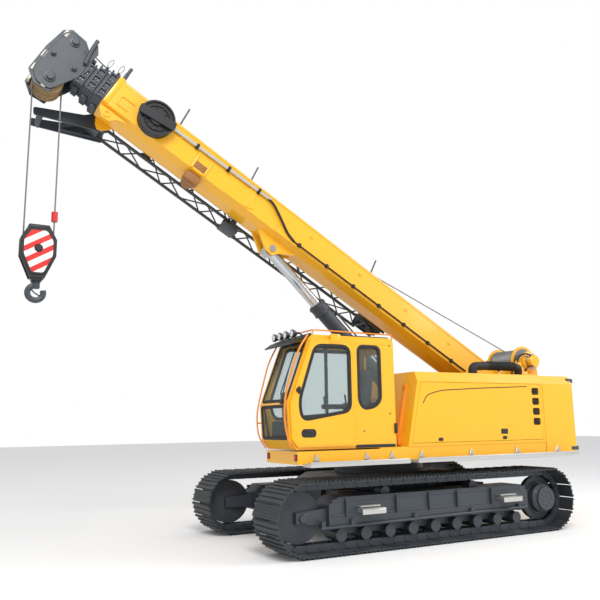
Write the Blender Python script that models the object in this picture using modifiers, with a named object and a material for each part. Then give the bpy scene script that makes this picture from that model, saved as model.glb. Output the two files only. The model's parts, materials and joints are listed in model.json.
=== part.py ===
"""Telescopic boom crawler crane, 55 tonne class, in separate pieces with real joints.

Metres. +X runs forward along the boom, +Y is the operator's left (the cab side),
+Z is up, and the ground is at Z = 0. Pieces are drawn in machine axes, whose origin
is the slewing axis on the ground, or in boom axes, whose origin is the boom's foot
pin with X along the boom and Z across its depth.
"""
import math

import bmesh
import bpy
from mathutils import Matrix, Vector

# ---------------------------------------------------------------- driving dimensions
SLEW_AXIS_X = -1.2374         # slewing axis in the assembly's frame, centred on its box

TRACK_LENGTH = 5.60           # over the grousers, front to rear
TRACK_HEIGHT = 1.01
SHOE_WIDTH = 0.77
TRACK_CENTRE_Y = 1.245        # crawlers drawn in: 3.26 m over the shoes
TRACK_DEPTH = 0.15            # link and shoe together
GROUSER_HEIGHT = 0.03
SHOE_COUNT = 58
FRAME_HALF_WIDTH = 0.21       # track frame, across
ROLLER_RADIUS = 0.09
ROLLER_COUNT = 9
BEAM_X = 1.25                 # telescopic axle beams, front and rear of the slewing axis
BEAM_HALF_WIDTH = 0.13
BEAM_LOW = 0.46
BEAM_HIGH = 0.74
SLEEVE_WALL = 0.04
CARBODY_HALF_LENGTH = 1.50
CARBODY_HALF_WIDTH = 0.55
CARBODY_TOP = 0.98
RING_RADIUS = 0.72
DECK_BOTTOM = 1.18
DECK_TOP = 1.42
DECK_HALF_WIDTH = 1.39
DECK_FRONT = 0.95
DECK_REAR = -2.50
TAIL_REAR = -2.97             # narrow tail between the counterweight's arms
TAIL_HALF_WIDTH = 0.59

HOUSING_SIDE = 1.40
HOUSING_TOP = 2.57
HOUSING_INNER = 0.57
HOUSING_WALL = 0.03
HOUSING_BEVEL_LOW = 2.42
HOUSING_BEVEL_IN = 0.11
COUNTERWEIGHT_REAR = -3.24    # at its sides
COUNTERWEIGHT_BULGE = 0.26    # further back on the centre line
COUNTERWEIGHT_BOTTOM = 1.235

CAB_OUTER = 1.355             # left wall, under the sliding door
CAB_INNER = 0.45              # right wall, beside the boom
CAB_WALL = 0.04
CAB_FLOOR = 1.4203
CAB_REAR = 0.63
CAB_ROOF = 3.06
CAB_FRONT = 2.48
CAB_BROW = 2.12               # top of the raked windscreen
CAB_WAIST = 2.06
DOOR_THICKNESS = 0.04
DOOR_REAR = 1.38
TILT_AXIS = Vector((0.63, 0.0, 1.42))

BOOM_ANGLE = math.radians(30.2)
BOOM_FOOT = Vector((-2.250, 0.0, 2.456))
BOOM_HALF_WIDTH = 0.29
BOOM_TOP = 0.40               # boom axes, from the foot pin
BOOM_SIDE_LOW = -0.10
BOOM_BELLY = -0.16
BOOM_BELLY_HALF = 0.14
BOOM_REAR = -0.19
BOOM_FRONT = 8.29
BOOM_WALL = 0.010
BOOM_CORNER = 0.025
SECTION_STEP = 0.035          # each section is this much smaller all round
COLLAR_LENGTH = 0.13
COLLAR_PITCH = 0.17
COLLAR_RIM = 0.030
FOOT_PIN_RADIUS = 0.070
BRACKET_INNER = 0.366
BRACKET_WALL = 0.064

CYLINDER_LUG = Vector((4.853, 0.0, -0.310))   # in boom axes
CYLINDER_FOOT = Vector((-1.22, 0.0, 1.44))    # in machine axes
BARREL_RADIUS = 0.13
BARREL_LENGTH = 3.35
ROD_RADIUS = 0.090
ROD_EYE_HALF = 0.085
CYLINDER_PIN_RADIUS = 0.055
CYLINDER_WELL_FRONT = 0.36    # slot in the deck that the lowered barrel dips into
CYLINDER_WELL_HALF = 0.17

WINCH_AXIS = Vector((-3.22, 0.0, 2.90))
DRUM_RADIUS = 0.22
FLANGE_RADIUS = 0.30
DRUM_HALF_WIDTH = 0.33

LOW_SHEAVE = Vector((9.04, 0.0, -0.28))       # in boom axes
TOP_SHEAVE = Vector((9.07, 0.0, 0.42))
SHEAVE_RADIUS = 0.215
SHEAVE_GROOVE = 0.190
SHEAVE_HALF_WIDTH = 0.028
SHEAVE_PIN_RADIUS = 0.040
HEAD_HALF_WIDTH = 0.200
HEAD_PLATE = 0.020
ROPE_RADIUS = 0.011
BLOCK_DROP = 2.52             # head sheave axis to hook block sheave axis

SEAT_GAP = 0.0003             # between pieces that touch
PIN_GAP = 0.0008              # round a turning pin
RUN_GAP = 0.006               # between pieces that move past each other

YELLOW = (0.90, 0.52, 0.02)
SLATE = (0.035, 0.042, 0.052)
BLACK = (0.012, 0.012, 0.014)
SILVER = (0.55, 0.56, 0.57)

PARTS = None
CUTTERS = None


# ---------------------------------------------------------------- building helpers
def fresh_scene():
    """Empty the scene and make one collection for the crane and one for cutters."""
    global PARTS, CUTTERS
    for item in list(bpy.data.objects):
        bpy.data.objects.remove(item, do_unlink=True)
    PARTS = bpy.data.collections.new("crawler_crane")
    CUTTERS = bpy.data.collections.new("cutters")
    bpy.context.scene.collection.children.link(PARTS)
    bpy.context.scene.collection.children.link(CUTTERS)


def material(name, colour, roughness=0.4, metallic=0.0):
    """Principled material with the piece's colour, roughness and metallic value."""
    paint = bpy.data.materials.new(name)
    paint.use_nodes = True
    shader = paint.node_tree.nodes["Principled BSDF"]
    shader.inputs["Base Color"].default_value = (*colour, 1.0)
    shader.inputs["Roughness"].default_value = roughness
    shader.inputs["Metallic"].default_value = metallic
    return paint


def mesh_object(name, shape):
    """Turn a bmesh into an object of the crane, with every face pointing out."""
    bmesh.ops.recalc_face_normals(shape, faces=shape.faces)
    mesh = bpy.data.meshes.new(name)
    shape.to_mesh(mesh)
    shape.free()
    item = bpy.data.objects.new(name, mesh)
    PARTS.objects.link(item)
    return item


def block(name, x_range, y_range, z_range):
    """Box between two values on each axis."""
    low = Vector((x_range[0], y_range[0], z_range[0]))
    high = Vector((x_range[1], y_range[1], z_range[1]))
    shape = bmesh.new()
    bmesh.ops.create_cube(shape, size=1.0)
    place = Matrix.LocRotScale((low + high) / 2, None, high - low)
    bmesh.ops.transform(shape, matrix=place, verts=shape.verts)
    return mesh_object(name, shape)


def bar(name, start, end, width, depth):
    """Rectangular bar from one point to another."""
    start, end = Vector(start), Vector(end)
    run = end - start
    shape = bmesh.new()
    bmesh.ops.create_cube(shape, size=1.0)
    turn = run.to_track_quat("X", "Z")
    place = Matrix.LocRotScale((start + end) / 2, turn, Vector((run.length, width, depth)))
    bmesh.ops.transform(shape, matrix=place, verts=shape.verts)
    return mesh_object(name, shape)


def drum(name, start, end, radius, sides=32):
    """Round bar from one point to another."""
    start, end = Vector(start), Vector(end)
    run = end - start
    shape = bmesh.new()
    bmesh.ops.create_cone(shape, cap_ends=True, segments=sides, radius1=radius,
                          radius2=radius, depth=run.length)
    place = Matrix.LocRotScale((start + end) / 2, run.to_track_quat("Z", "Y"), None)
    bmesh.ops.transform(shape, matrix=place, verts=shape.verts)
    return mesh_object(name, shape)


def cross_drum(name, centre, radius, half_width, sides=32):
    """Round bar lying across the machine, symmetric about a centre point."""
    reach = Vector((0.0, half_width, 0.0))
    return drum(name, Vector(centre) - reach, Vector(centre) + reach, radius, sides)


def evaluated_mesh(item):
    """The item's mesh with its modifiers and curve settings worked out."""
    view = bpy.context.evaluated_depsgraph_get()
    return bpy.data.meshes.new_from_object(item.evaluated_get(view), depsgraph=view)


AXES_OF_PLANE = {
    "XZ": Matrix(((1, 0, 0), (0, 0, -1), (0, 1, 0))),
    "YZ": Matrix(((0, 0, 1), (1, 0, 0), (0, 1, 0))),
    "XY": Matrix.Identity(3),
}
NORMAL_OF_PLANE = {"XZ": Vector((0, 1, 0)), "YZ": Vector((1, 0, 0)), "XY": Vector((0, 0, 1))}


def plate(name, outline, low, high, plane="XZ", holes=()):
    """Flat outline, with holes, filling the space from low to high along the third axis."""
    curve = bpy.data.curves.new(name + "_outline", "CURVE")
    curve.dimensions = "2D"
    curve.fill_mode = "BOTH"
    curve.extrude = (high - low) / 2
    for points in (outline, *holes):
        spline = curve.splines.new("POLY")
        spline.points.add(len(points) - 1)
        for point, (across, up) in zip(spline.points, points):
            point.co = (across, up, 0.0, 1.0)
        spline.use_cyclic_u = True
    guide = bpy.data.objects.new(name + "_guide", curve)
    PARTS.objects.link(guide)
    mesh = evaluated_mesh(guide)
    bpy.data.objects.remove(guide, do_unlink=True)
    mesh.transform(AXES_OF_PLANE[plane].to_4x4())
    mesh.transform(Matrix.Translation(NORMAL_OF_PLANE[plane] * (low + high) / 2))
    shape = bmesh.new()
    shape.from_mesh(mesh)
    bpy.data.meshes.remove(mesh)
    bmesh.ops.remove_doubles(shape, verts=shape.verts, dist=0.00005)
    return mesh_object(name, shape)


def turned(name, profile, centre, sides=28):
    """Body turned about a crosswise (Y) axis; profile pairs are radius and Y offset.

    A profile that starts on the axis is an open line that ends there too; any other
    profile is a closed loop round a bore.
    """
    mesh = bpy.data.meshes.new(name + "_profile")
    points = [(radius, 0.0, offset) for radius, offset in profile]
    edges = [(i, i + 1) for i in range(len(points) - 1)]
    if profile[0][0] > 0:
        edges.append((len(points) - 1, 0))
    mesh.from_pydata(points, edges, [])
    guide = bpy.data.objects.new(name + "_guide", mesh)
    PARTS.objects.link(guide)
    screw = guide.modifiers.new("turn", "SCREW")
    screw.steps = sides
    screw.render_steps = sides
    screw.use_merge_vertices = True
    screw.merge_threshold = 0.00005
    solid = evaluated_mesh(guide)
    bpy.data.objects.remove(guide, do_unlink=True)
    solid.transform(Matrix.Rotation(math.radians(-90), 4, "X"))
    solid.transform(Matrix.Translation(Vector(centre)))
    shape = bmesh.new()
    shape.from_mesh(solid)
    bpy.data.meshes.remove(solid)
    bmesh.ops.remove_doubles(shape, verts=shape.verts, dist=0.00005)
    return mesh_object(name, shape)


def rod_along(name, points, radius):
    """Round rod that follows a list of points, with closed ends."""
    curve = bpy.data.curves.new(name + "_path", "CURVE")
    curve.dimensions = "3D"
    curve.bevel_depth = radius
    curve.bevel_resolution = 2
    curve.use_fill_caps = True
    spline = curve.splines.new("POLY")
    spline.points.add(len(points) - 1)
    for point, place in zip(spline.points, points):
        point.co = (*place, 1.0)
    guide = bpy.data.objects.new(name + "_guide", curve)
    PARTS.objects.link(guide)
    mesh = evaluated_mesh(guide)
    bpy.data.objects.remove(guide, do_unlink=True)
    shape = bmesh.new()
    shape.from_mesh(mesh)
    bpy.data.meshes.remove(mesh)
    bmesh.ops.remove_doubles(shape, verts=shape.verts, dist=0.00005)
    return mesh_object(name, shape)


def combine(body, tools, operation="UNION"):
    """Join the tools to the body, or take them away from it, and drop the tools."""
    for tool in tools:
        CUTTERS.objects.link(tool)
        PARTS.objects.unlink(tool)
        tool.hide_render = True
        tool.display_type = "WIRE"
        step = body.modifiers.new(tool.name, "BOOLEAN")
        step.operation = operation
        step.solver = "EXACT"
        step.object = tool
    mesh = evaluated_mesh(body)
    body.modifiers.clear()
    shape = bmesh.new()
    shape.from_mesh(mesh)
    bmesh.ops.triangulate(shape, faces=shape.faces)
    bmesh.ops.remove_doubles(shape, verts=shape.verts, dist=0.00002)
    shape.to_mesh(mesh)
    shape.free()
    old = body.data
    body.data = mesh
    bpy.data.meshes.remove(old)
    for tool in tools:
        bpy.data.objects.remove(tool, do_unlink=True)
    return body


def cut(body, tools):
    """Take the tools away from the body."""
    return combine(body, tools, "DIFFERENCE")


def inset(outline, distance):
    """Move each side of a convex outline inwards (outwards where negative)."""
    area = sum(a[0] * b[1] - b[0] * a[1] for a, b in zip(outline, outline[1:] + outline[:1]))
    side = 1.0 if area > 0 else -1.0
    moved = []
    count = len(outline)
    for i in range(count):
        before, here, after = (Vector(outline[(i + k) % count]) for k in (-1, 0, 1))
        first = (here - before).normalized()
        second = (after - here).normalized()
        inward = Vector((-first.y - second.y, first.x + second.x)) * side
        reach = distance / max(inward.length_squared / 2, 0.05)
        moved.append(tuple(here + inward * reach))
    return moved


def rounded(outline, radius, steps=3):
    """Replace each corner of a convex outline by a short arc."""
    points = []
    count = len(outline)
    for i in range(count):
        before, here, after = (Vector(outline[(i + k) % count]) for k in (-1, 0, 1))
        back = (before - here).normalized()
        ahead = (after - here).normalized()
        half = back.angle(ahead) / 2
        reach = radius / math.tan(half)
        middle = here + (back + ahead).normalized() * radius / math.sin(half)
        start = here + back * reach - middle
        end = here + ahead * reach - middle
        sweep = start.angle_signed(end)
        for k in range(steps + 1):
            spoke = start.copy()
            spoke.rotate(Matrix.Rotation(-sweep * k / steps, 2))
            points.append(tuple(middle + spoke))
    return points


def rectangle(x_range, y_range):
    """Corners of a rectangle, anticlockwise."""
    return [(x_range[0], y_range[0]), (x_range[1], y_range[0]),
            (x_range[1], y_range[1]), (x_range[0], y_range[1])]


def finish(item, paint, axis=None, smooth=30):
    """Give a piece its material and hang it on its joint's empty."""
    item.data.materials.clear()
    item.data.materials.append(paint)
    item.data.shade_smooth()
    item.data.set_sharp_from_angle(angle=math.radians(smooth))
    if axis is not None:
        item.data.transform(axis["place"].inverted())
        item.parent = axis["empty"]
    return item


def joint_axis(name, place, parent):
    """Empty on a joint's axis; place is its matrix in machine axes."""
    empty = bpy.data.objects.new(name, None)
    empty.empty_display_size = 0.3
    PARTS.objects.link(empty)
    if parent is None:
        empty.matrix_world = Matrix.Translation((SLEW_AXIS_X, 0, 0)) @ place
    else:
        empty.parent = parent["empty"]
        empty.matrix_local = parent["place"].inverted() @ place
    return {"empty": empty, "place": place}


def boom_to_machine():
    """Matrix that carries boom axes to machine axes."""
    return Matrix.Translation(BOOM_FOOT) @ Matrix.Rotation(-BOOM_ANGLE, 4, "Y")


def in_boom(item):
    """Move a piece drawn in boom axes to machine axes."""
    item.data.transform(boom_to_machine())
    return item


# ---------------------------------------------------------------- crawlers
def stadium(radius, count_per_end):
    """Outline of a belt round two end wheels, anticlockwise in X and Z."""
    reach = TRACK_LENGTH / 2 - TRACK_HEIGHT / 2
    middle = TRACK_HEIGHT / 2
    points = []
    for end, start in ((1, -90), (-1, 90)):
        for k in range(count_per_end + 1):
            angle = math.radians(start + 180 * k / count_per_end)
            x = end * reach + radius * math.cos(angle)
            points.append((x, middle + radius * math.sin(angle)))
    return points


def belt_point(travel, radius):
    """Point at a distance along the belt's mid line, moved out to a radius."""
    reach = TRACK_LENGTH / 2 - TRACK_HEIGHT / 2
    middle = TRACK_HEIGHT / 2
    mid_radius = TRACK_HEIGHT / 2 - GROUSER_HEIGHT
    bend = math.pi * mid_radius
    if travel < 2 * reach:
        return (-reach + travel, middle - radius)
    travel -= 2 * reach
    if travel < bend:
        angle = -math.pi / 2 + travel / mid_radius
        return (reach + radius * math.cos(angle), middle + radius * math.sin(angle))
    travel -= bend
    if travel < 2 * reach:
        return (reach - travel, middle + radius)
    travel -= 2 * reach
    angle = math.pi / 2 + travel / mid_radius
    return (-reach + radius * math.cos(angle), middle + radius * math.sin(angle))


def track(name, side):
    """Closed belt whose outline steps down between its shoes."""
    top = TRACK_HEIGHT / 2
    root = top - GROUSER_HEIGHT
    length = 4 * (TRACK_LENGTH / 2 - top) + 2 * math.pi * root
    pitch = length / SHOE_COUNT
    outline = []
    for k in range(SHOE_COUNT):
        start = (k + 0.5) * pitch
        for share, radius in ((0.0, root), (0.08, top), (0.84, top), (0.92, root)):
            outline.append(belt_point((start + share * pitch) % length, radius))
    inner = stadium(top - TRACK_DEPTH, 20)
    middle = side * TRACK_CENTRE_Y
    return plate(name, outline, middle - SHOE_WIDTH / 2, middle + SHOE_WIDTH / 2, holes=[inner])


def wheel_x():
    """Distance from the slewing axis to an end wheel's axle."""
    return TRACK_LENGTH / 2 - TRACK_HEIGHT / 2


def track_frame(name, side):
    """Welded box between the wheels, its fork for the idler and its axle beams."""
    centre = side * TRACK_CENTRE_Y
    axle = TRACK_HEIGHT / 2
    low = TRACK_DEPTH + 2 * ROLLER_RADIUS + 0.03
    high = TRACK_HEIGHT - TRACK_DEPTH - 0.10
    reach = wheel_x() - 0.40
    outline = [(-reach, low), (reach, low), (reach, high - 0.10), (reach - 0.15, high),
               (-reach + 0.15, high), (-reach, high - 0.10)]
    frame = plate(name, outline, centre - FRAME_HALF_WIDTH, centre + FRAME_HALF_WIDTH)
    extras = []
    fork = [(reach - 0.2, axle - 0.12), (wheel_x() + 0.10, axle - 0.08),
            (wheel_x() + 0.10, axle + 0.08), (reach - 0.2, axle + 0.12)]
    for arm in (-1, 1):
        inner, outer = sorted((centre + arm * (0.085 + SEAT_GAP), centre + arm * 0.135))
        extras.append(plate("fork", fork, inner, outer))
    # final drive carrier, on the inner side of the rear wheel
    carrier = [(-x, z) for x, z in fork]
    inner, outer = sorted((centre - side * (0.10 + SEAT_GAP), centre - side * 0.16))
    extras.append(plate("carrier", carrier, inner, outer))
    for place in (-0.85, 0.85):
        extras.append(cross_drum("top_roller", (place, centre, high + 0.02), 0.078, 0.09, 20))
    for beam in (-BEAM_X, BEAM_X):
        edge = sorted((side * 0.06, centre))
        extras.append(block("beam", (beam - BEAM_HALF_WIDTH, beam + BEAM_HALF_WIDTH), edge,
                            (BEAM_LOW, BEAM_HIGH)))
    return combine(frame, extras)


def roller_bank(name, side):
    """Row of track rollers on their rail, under the track frame."""
    centre = side * TRACK_CENTRE_Y
    level = TRACK_DEPTH + ROLLER_RADIUS + SEAT_GAP
    top = TRACK_DEPTH + 2 * ROLLER_RADIUS + 0.03 - SEAT_GAP
    span = wheel_x() - 0.62
    rail = block(name, (-span - 0.05, span + 0.05), (centre - 0.06, centre + 0.06), (level, top))
    rollers = []
    for k in range(ROLLER_COUNT):
        place = -span + 2 * span * k / (ROLLER_COUNT - 1)
        rollers.append(cross_drum("roller", (place, centre, level), ROLLER_RADIUS, 0.17, 16))
    return combine(rail, rollers)


def idler(name, side):
    """Front wheel, turned, with its hub reaching the fork's two arms."""
    rim = TRACK_HEIGHT / 2 - TRACK_DEPTH - 0.003
    profile = [(0.0, 0.085), (0.12, 0.085), (0.26, 0.06), (rim, 0.05), (rim, -0.05),
               (0.26, -0.06), (0.12, -0.085), (0.0, -0.085)]
    return turned(name, profile, (wheel_x(), side * TRACK_CENTRE_Y, TRACK_HEIGHT / 2))


def sprocket(name, side):
    """Rear drive wheel with its final drive standing out on the outer side."""
    rim = TRACK_HEIGHT / 2 - TRACK_DEPTH - 0.003
    profile = [(0.0, 0.25), (0.19, 0.25), (0.19, 0.21), (0.24, 0.17), (0.24, 0.045),
               (rim, 0.04), (rim, -0.04), (0.17, -0.045), (0.17, -0.10), (0.0, -0.10)]
    placed = [(radius, side * offset) for radius, offset in profile]
    return turned(name, placed, (-wheel_x(), side * TRACK_CENTRE_Y, TRACK_HEIGHT / 2))


# ---------------------------------------------------------------- undercarriage
def carbody():
    """Centre frame with the two cross sleeves that the axle beams slide in."""
    shoulder = CARBODY_HALF_LENGTH - 0.35
    outline = [(-CARBODY_HALF_LENGTH, 0.42), (CARBODY_HALF_LENGTH, 0.42),
               (CARBODY_HALF_LENGTH, 0.80), (shoulder, CARBODY_TOP), (-shoulder, CARBODY_TOP),
               (-CARBODY_HALF_LENGTH, 0.80)]
    body = plate("carbody", outline, -CARBODY_HALF_WIDTH, CARBODY_HALF_WIDTH)
    reach = TRACK_CENTRE_Y - FRAME_HALF_WIDTH - 0.08
    sleeves = []
    bores = []
    for place in (-BEAM_X, BEAM_X):
        half = BEAM_HALF_WIDTH + SLEEVE_WALL + RUN_GAP
        sleeves.append(block("sleeve", (place - half, place + half), (-reach, reach),
                             (BEAM_LOW - SLEEVE_WALL - RUN_GAP, BEAM_HIGH + SLEEVE_WALL)))
        half = BEAM_HALF_WIDTH + RUN_GAP
        bores.append(block("bore", (place - half, place + half), (-reach - 0.1, reach + 0.1),
                           (BEAM_LOW - RUN_GAP, BEAM_HIGH + SEAT_GAP)))
    sleeves.append(drum("pedestal", (0, 0, 0.90), (0, 0, 1.03), RING_RADIUS + 0.06, 48))
    combine(body, sleeves)
    return cut(body, bores)


def slew_ring():
    """Slewing bearing between the pedestal and the deck."""
    return drum("slew_ring", (0, 0, 1.03 + SEAT_GAP), (0, 0, DECK_BOTTOM - SEAT_GAP),
                RING_RADIUS, 48)


# ---------------------------------------------------------------- superstructure
def deck():
    """Slewing deck with its tail, cab platform, boom brackets and cylinder lugs."""
    body = block("slewing_deck", (DECK_REAR + 0.005, DECK_FRONT),
                 (-DECK_HALF_WIDTH, DECK_HALF_WIDTH), (1.22, DECK_TOP))
    extras = [
        block("keel", (TAIL_REAR, DECK_FRONT), (-TAIL_HALF_WIDTH, TAIL_HALF_WIDTH),
              (DECK_BOTTOM, DECK_TOP)),
        block("platform", (DECK_FRONT - 0.1, 2.28), (0.45, DECK_HALF_WIDTH), (1.24, 1.40)),
        block("front_beam", (2.20, 2.34), (0.40, DECK_HALF_WIDTH), (1.22, 1.40)),
    ]
    bracket = [(TAIL_REAR + 0.02, 1.35), (-0.55, 1.35), (-0.75, 1.62), (-1.80, 2.48),
               (-2.08, 2.62), (-2.42, 2.62), (-2.60, 2.75), (TAIL_REAR + 0.02, 2.75)]
    well = block("well", (-1.55, CYLINDER_WELL_FRONT), (-CYLINDER_WELL_HALF, CYLINDER_WELL_HALF),
                 (1.0, 1.6))
    for side in (-1, 1):
        inner, outer = sorted((side * BRACKET_INNER, side * (BRACKET_INNER + BRACKET_WALL)))
        extras.append(plate("bracket", bracket, inner, outer))
        inner, outer = sorted((side * 0.18, side * 0.24))
        lug = [(-1.50, 1.35), (-0.92, 1.35), (-1.06, 1.58), (-1.38, 1.58)]
        extras.append(plate("lug", lug, inner, outer))
    extras.append(cross_drum("foot_pin", BOOM_FOOT, FOOT_PIN_RADIUS, 0.46))
    combine(body, extras)
    return cut(body, [well])


def counterweight():
    """Cast tail weight, curved in plan, with two arms beside the deck's tail."""
    front = DECK_REAR
    steps = 12
    rear = []
    for k in range(steps + 1):
        y = HOUSING_SIDE * (1 - 2 * k / steps)
        x = COUNTERWEIGHT_REAR - COUNTERWEIGHT_BULGE * (1 - (y / HOUSING_SIDE) ** 2)
        rear.append((x, y))
    inner = TAIL_HALF_WIDTH + SEAT_GAP
    back = TAIL_REAR - SEAT_GAP
    plan = rear + [(front, -HOUSING_SIDE), (front, -inner), (back, -inner), (back, inner),
                   (front, inner), (front, HOUSING_SIDE)]
    weight = plate("counterweight", plan, COUNTERWEIGHT_BOTTOM, HOUSING_TOP - 0.01, "XY")
    section = [(-HOUSING_SIDE - 0.1, 1.0), (HOUSING_SIDE + 0.1, 1.0), (HOUSING_SIDE + 0.1, 2.28),
               (HOUSING_SIDE - HOUSING_BEVEL_IN, HOUSING_TOP - 0.01),
               (HOUSING_SIDE - HOUSING_BEVEL_IN, 2.7),
               (-HOUSING_SIDE + HOUSING_BEVEL_IN, 2.7),
               (-HOUSING_SIDE + HOUSING_BEVEL_IN, HOUSING_TOP - 0.01),
               (-HOUSING_SIDE - 0.1, 2.28)]
    combine(weight, [plate("taper", section, -5.0, 0.0, "YZ")], "INTERSECT")
    lean = [(-2.0, 1.0), (-2.0, 2.8), (-3.38, 2.8), (-3.50, 1.47), (-3.36, 1.20), (-3.30, 1.0)]
    return combine(weight, [plate("lean", lean, -1.6, 1.6)], "INTERSECT")


def housing(name, side, front_low, front_high):
    """Engine or pump housing: one folded shell, open underneath."""
    low = DECK_TOP + SEAT_GAP
    rear = DECK_REAR + SEAT_GAP + 0.01
    outline = [(rear, low), (front_low, low), (front_high, HOUSING_TOP), (rear, HOUSING_TOP)]
    inner, outer = sorted((side * HOUSING_INNER, side * HOUSING_SIDE))
    shell = plate(name, outline, inner, outer)
    lean = [(side * (HOUSING_INNER - 0.1), low - 0.1), (side * HOUSING_SIDE, low - 0.1),
            (side * HOUSING_SIDE, HOUSING_BEVEL_LOW),
            (side * (HOUSING_SIDE - HOUSING_BEVEL_IN), HOUSING_TOP),
            (side * (HOUSING_SIDE - HOUSING_BEVEL_IN), HOUSING_TOP + 0.1),
            (side * (HOUSING_INNER - 0.1), HOUSING_TOP + 0.1)]
    combine(shell, [plate("fold", lean, -5, 5, "YZ")], "INTERSECT")
    wall = HOUSING_WALL
    room = [(rear + wall, low - 0.1), (front_low - wall, low - 0.1),
            (front_high - wall, HOUSING_TOP - wall), (rear + wall, HOUSING_TOP - wall)]
    inner, outer = sorted((side * (HOUSING_INNER + wall), side * (HOUSING_SIDE - wall)))
    hollow = plate("room", room, inner, outer)
    lean_in = [(y - side * wall * (1 if abs(y) > HOUSING_INNER else 0), z) for y, z in lean]
    lean_in = [(y, z - (wall if z > HOUSING_BEVEL_LOW else 0)) for y, z in lean_in]
    combine(hollow, [plate("fold", lean_in, -5, 5, "YZ")], "INTERSECT")
    return cut(shell, [hollow])


DOOR_OUTLINE = [(-2.44, 1.47), (0.36, 1.47), (0.155, 2.40), (-2.44, 2.40)]


def left_housing():
    """Housing behind the cab, cut for its long lift-up door."""
    shell = housing("housing_left", 1, 0.44, 0.19)
    opening = plate("opening", inset(DOOR_OUTLINE, -RUN_GAP), 1.30, 1.5)
    cut(shell, [opening])
    back = HOUSING_SIDE - HOUSING_WALL
    stops = [block("stop", (-2.43, 0.14), (back - 0.02, back - SEAT_GAP), (2.385, 2.424)),
             block("stop_root", (-2.42, 0.13), (back - 0.015, back + 0.012), (2.411, 2.423))]
    return combine(shell, stops)


def housing_door():
    """Long side door, hinged along its top edge, with four air grilles."""
    slots = []
    for level in (1.77, 1.94, 2.11, 2.28):
        slots.append(rounded(rectangle((-2.40, -2.23), (level - 0.06, level + 0.06)), 0.03, 2))
    return plate("housing_door_left", DOOR_OUTLINE, HOUSING_SIDE - 0.03, HOUSING_SIDE, holes=slots)


def catwalk(name, x_range):
    """Folding walkway plank along the deck's left edge."""
    return block(name, x_range, (DECK_HALF_WIDTH + SEAT_GAP, 1.60), (1.190, 1.228))


def winch_frame():
    """Two cheeks bolted to the boom brackets, the motor and the rear tie."""
    inner = BRACKET_INNER + BRACKET_WALL + SEAT_GAP
    x, _, z = WINCH_AXIS
    outline = [(-2.66, 2.60), (-2.66, 2.74), (x + 0.16, z + 0.10), (x + 0.08, z + 0.16),
               (x - 0.08, z + 0.16), (x - 0.18, z + 0.06), (x - 0.22, 2.60)]
    left = plate("winch_frame", outline, inner, inner + 0.03)
    extras = [plate("cheek", outline, -inner - 0.03, -inner)]
    extras.append(block("tie", (-2.72, -2.66), (-inner - 0.01, inner + 0.01), (2.765, 2.80)))
    extras.append(block("tie_left", (-2.72, -2.66), (inner, inner + 0.03), (2.70, 2.80)))
    extras.append(block("tie_right", (-2.72, -2.66), (-inner - 0.03, -inner), (2.70, 2.80)))
    extras.append(drum("motor", (x, inner + 0.02, z), (x, inner + 0.20, z), 0.10, 24))
    return combine(left, extras)


def winch_drum():
    """Grooved drum with its two flanges and stub shafts."""
    y = DRUM_HALF_WIDTH
    end = BRACKET_INNER + BRACKET_WALL
    core = cross_drum("winch_drum", WINCH_AXIS, DRUM_RADIUS, y - 0.01)
    flanges = []
    for side in (-1, 1):
        a = WINCH_AXIS + Vector((0, side * (y - 0.03), 0))
        b = WINCH_AXIS + Vector((0, side * y, 0))
        flanges.append(drum("flange", a, b, FLANGE_RADIUS))
    flanges.append(cross_drum("shaft", WINCH_AXIS, 0.06, end, 20))
    return combine(core, flanges)


# ---------------------------------------------------------------- cab
CAB_SIDE = [(CAB_REAR, CAB_FLOOR), (2.34, CAB_FLOOR), (2.45, 1.55), (CAB_FRONT, CAB_WAIST),
            (CAB_BROW, 3.01), (2.06, CAB_ROOF), (0.70, CAB_ROOF), (CAB_REAR, 3.0)]
DOOR_SIDE = [(DOOR_REAR, 1.46), (2.335, 1.46), (2.43, 1.57), (2.455, 2.06), (2.10, 2.995),
             (DOOR_REAR, 2.995)]
DOOR_WINDOW = [(1.46, 1.96), (2.27, 1.83), (2.31, 2.10), (2.04, 2.90), (1.46, 2.90)]
REAR_WINDOW = [(1.00, 2.02), (1.20, 1.99), (1.28, 2.10), (1.28, 2.92), (0.89, 2.92), (0.89, 2.12)]
RIGHT_WINDOW = [(0.85, 1.95), (2.25, 1.85), (2.33, 2.08), (2.03, 2.92), (0.85, 2.92)]


def cab_shell():
    """Hollow cab body with its door opening and windows."""
    body = plate("cab_shell", CAB_SIDE, CAB_INNER, CAB_OUTER)
    room = plate("room", inset(CAB_SIDE, CAB_WALL), CAB_INNER + CAB_WALL, CAB_OUTER - CAB_WALL)
    cut(body, [room])
    outside = (CAB_OUTER - CAB_WALL - 0.05, CAB_OUTER + 0.05)
    inside = (CAB_INNER - 0.05, CAB_INNER + CAB_WALL + 0.05)
    cutters = [
        plate("door_gap", inset(DOOR_SIDE, 0.05), *outside),
        plate("rear_side", rounded(REAR_WINDOW, 0.04), *outside),
        plate("right", rounded(RIGHT_WINDOW, 0.05), *inside),
        block("back", (CAB_REAR - 0.1, CAB_REAR + 0.15), (0.60, 1.20), (2.15, 2.85)),
        plate("front", window_gap(*FRONT_SLOPE), *FRONT_WINDOW_Y),
        plate("front_low", window_gap(*LOW_SLOPE), *FRONT_WINDOW_Y),
    ]
    cut(body, cutters)
    reach = (CAB_OUTER - 0.01, CAB_OUTER + RUN_GAP - SEAT_GAP)
    rails = [block("rail", (0.66, 2.30), reach, (1.47, 1.50)),
             block("rail", (0.72, 2.06), reach, (2.955, 2.985))]
    return combine(body, rails)


FRONT_WINDOW_Y = (0.52, 1.285)
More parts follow.
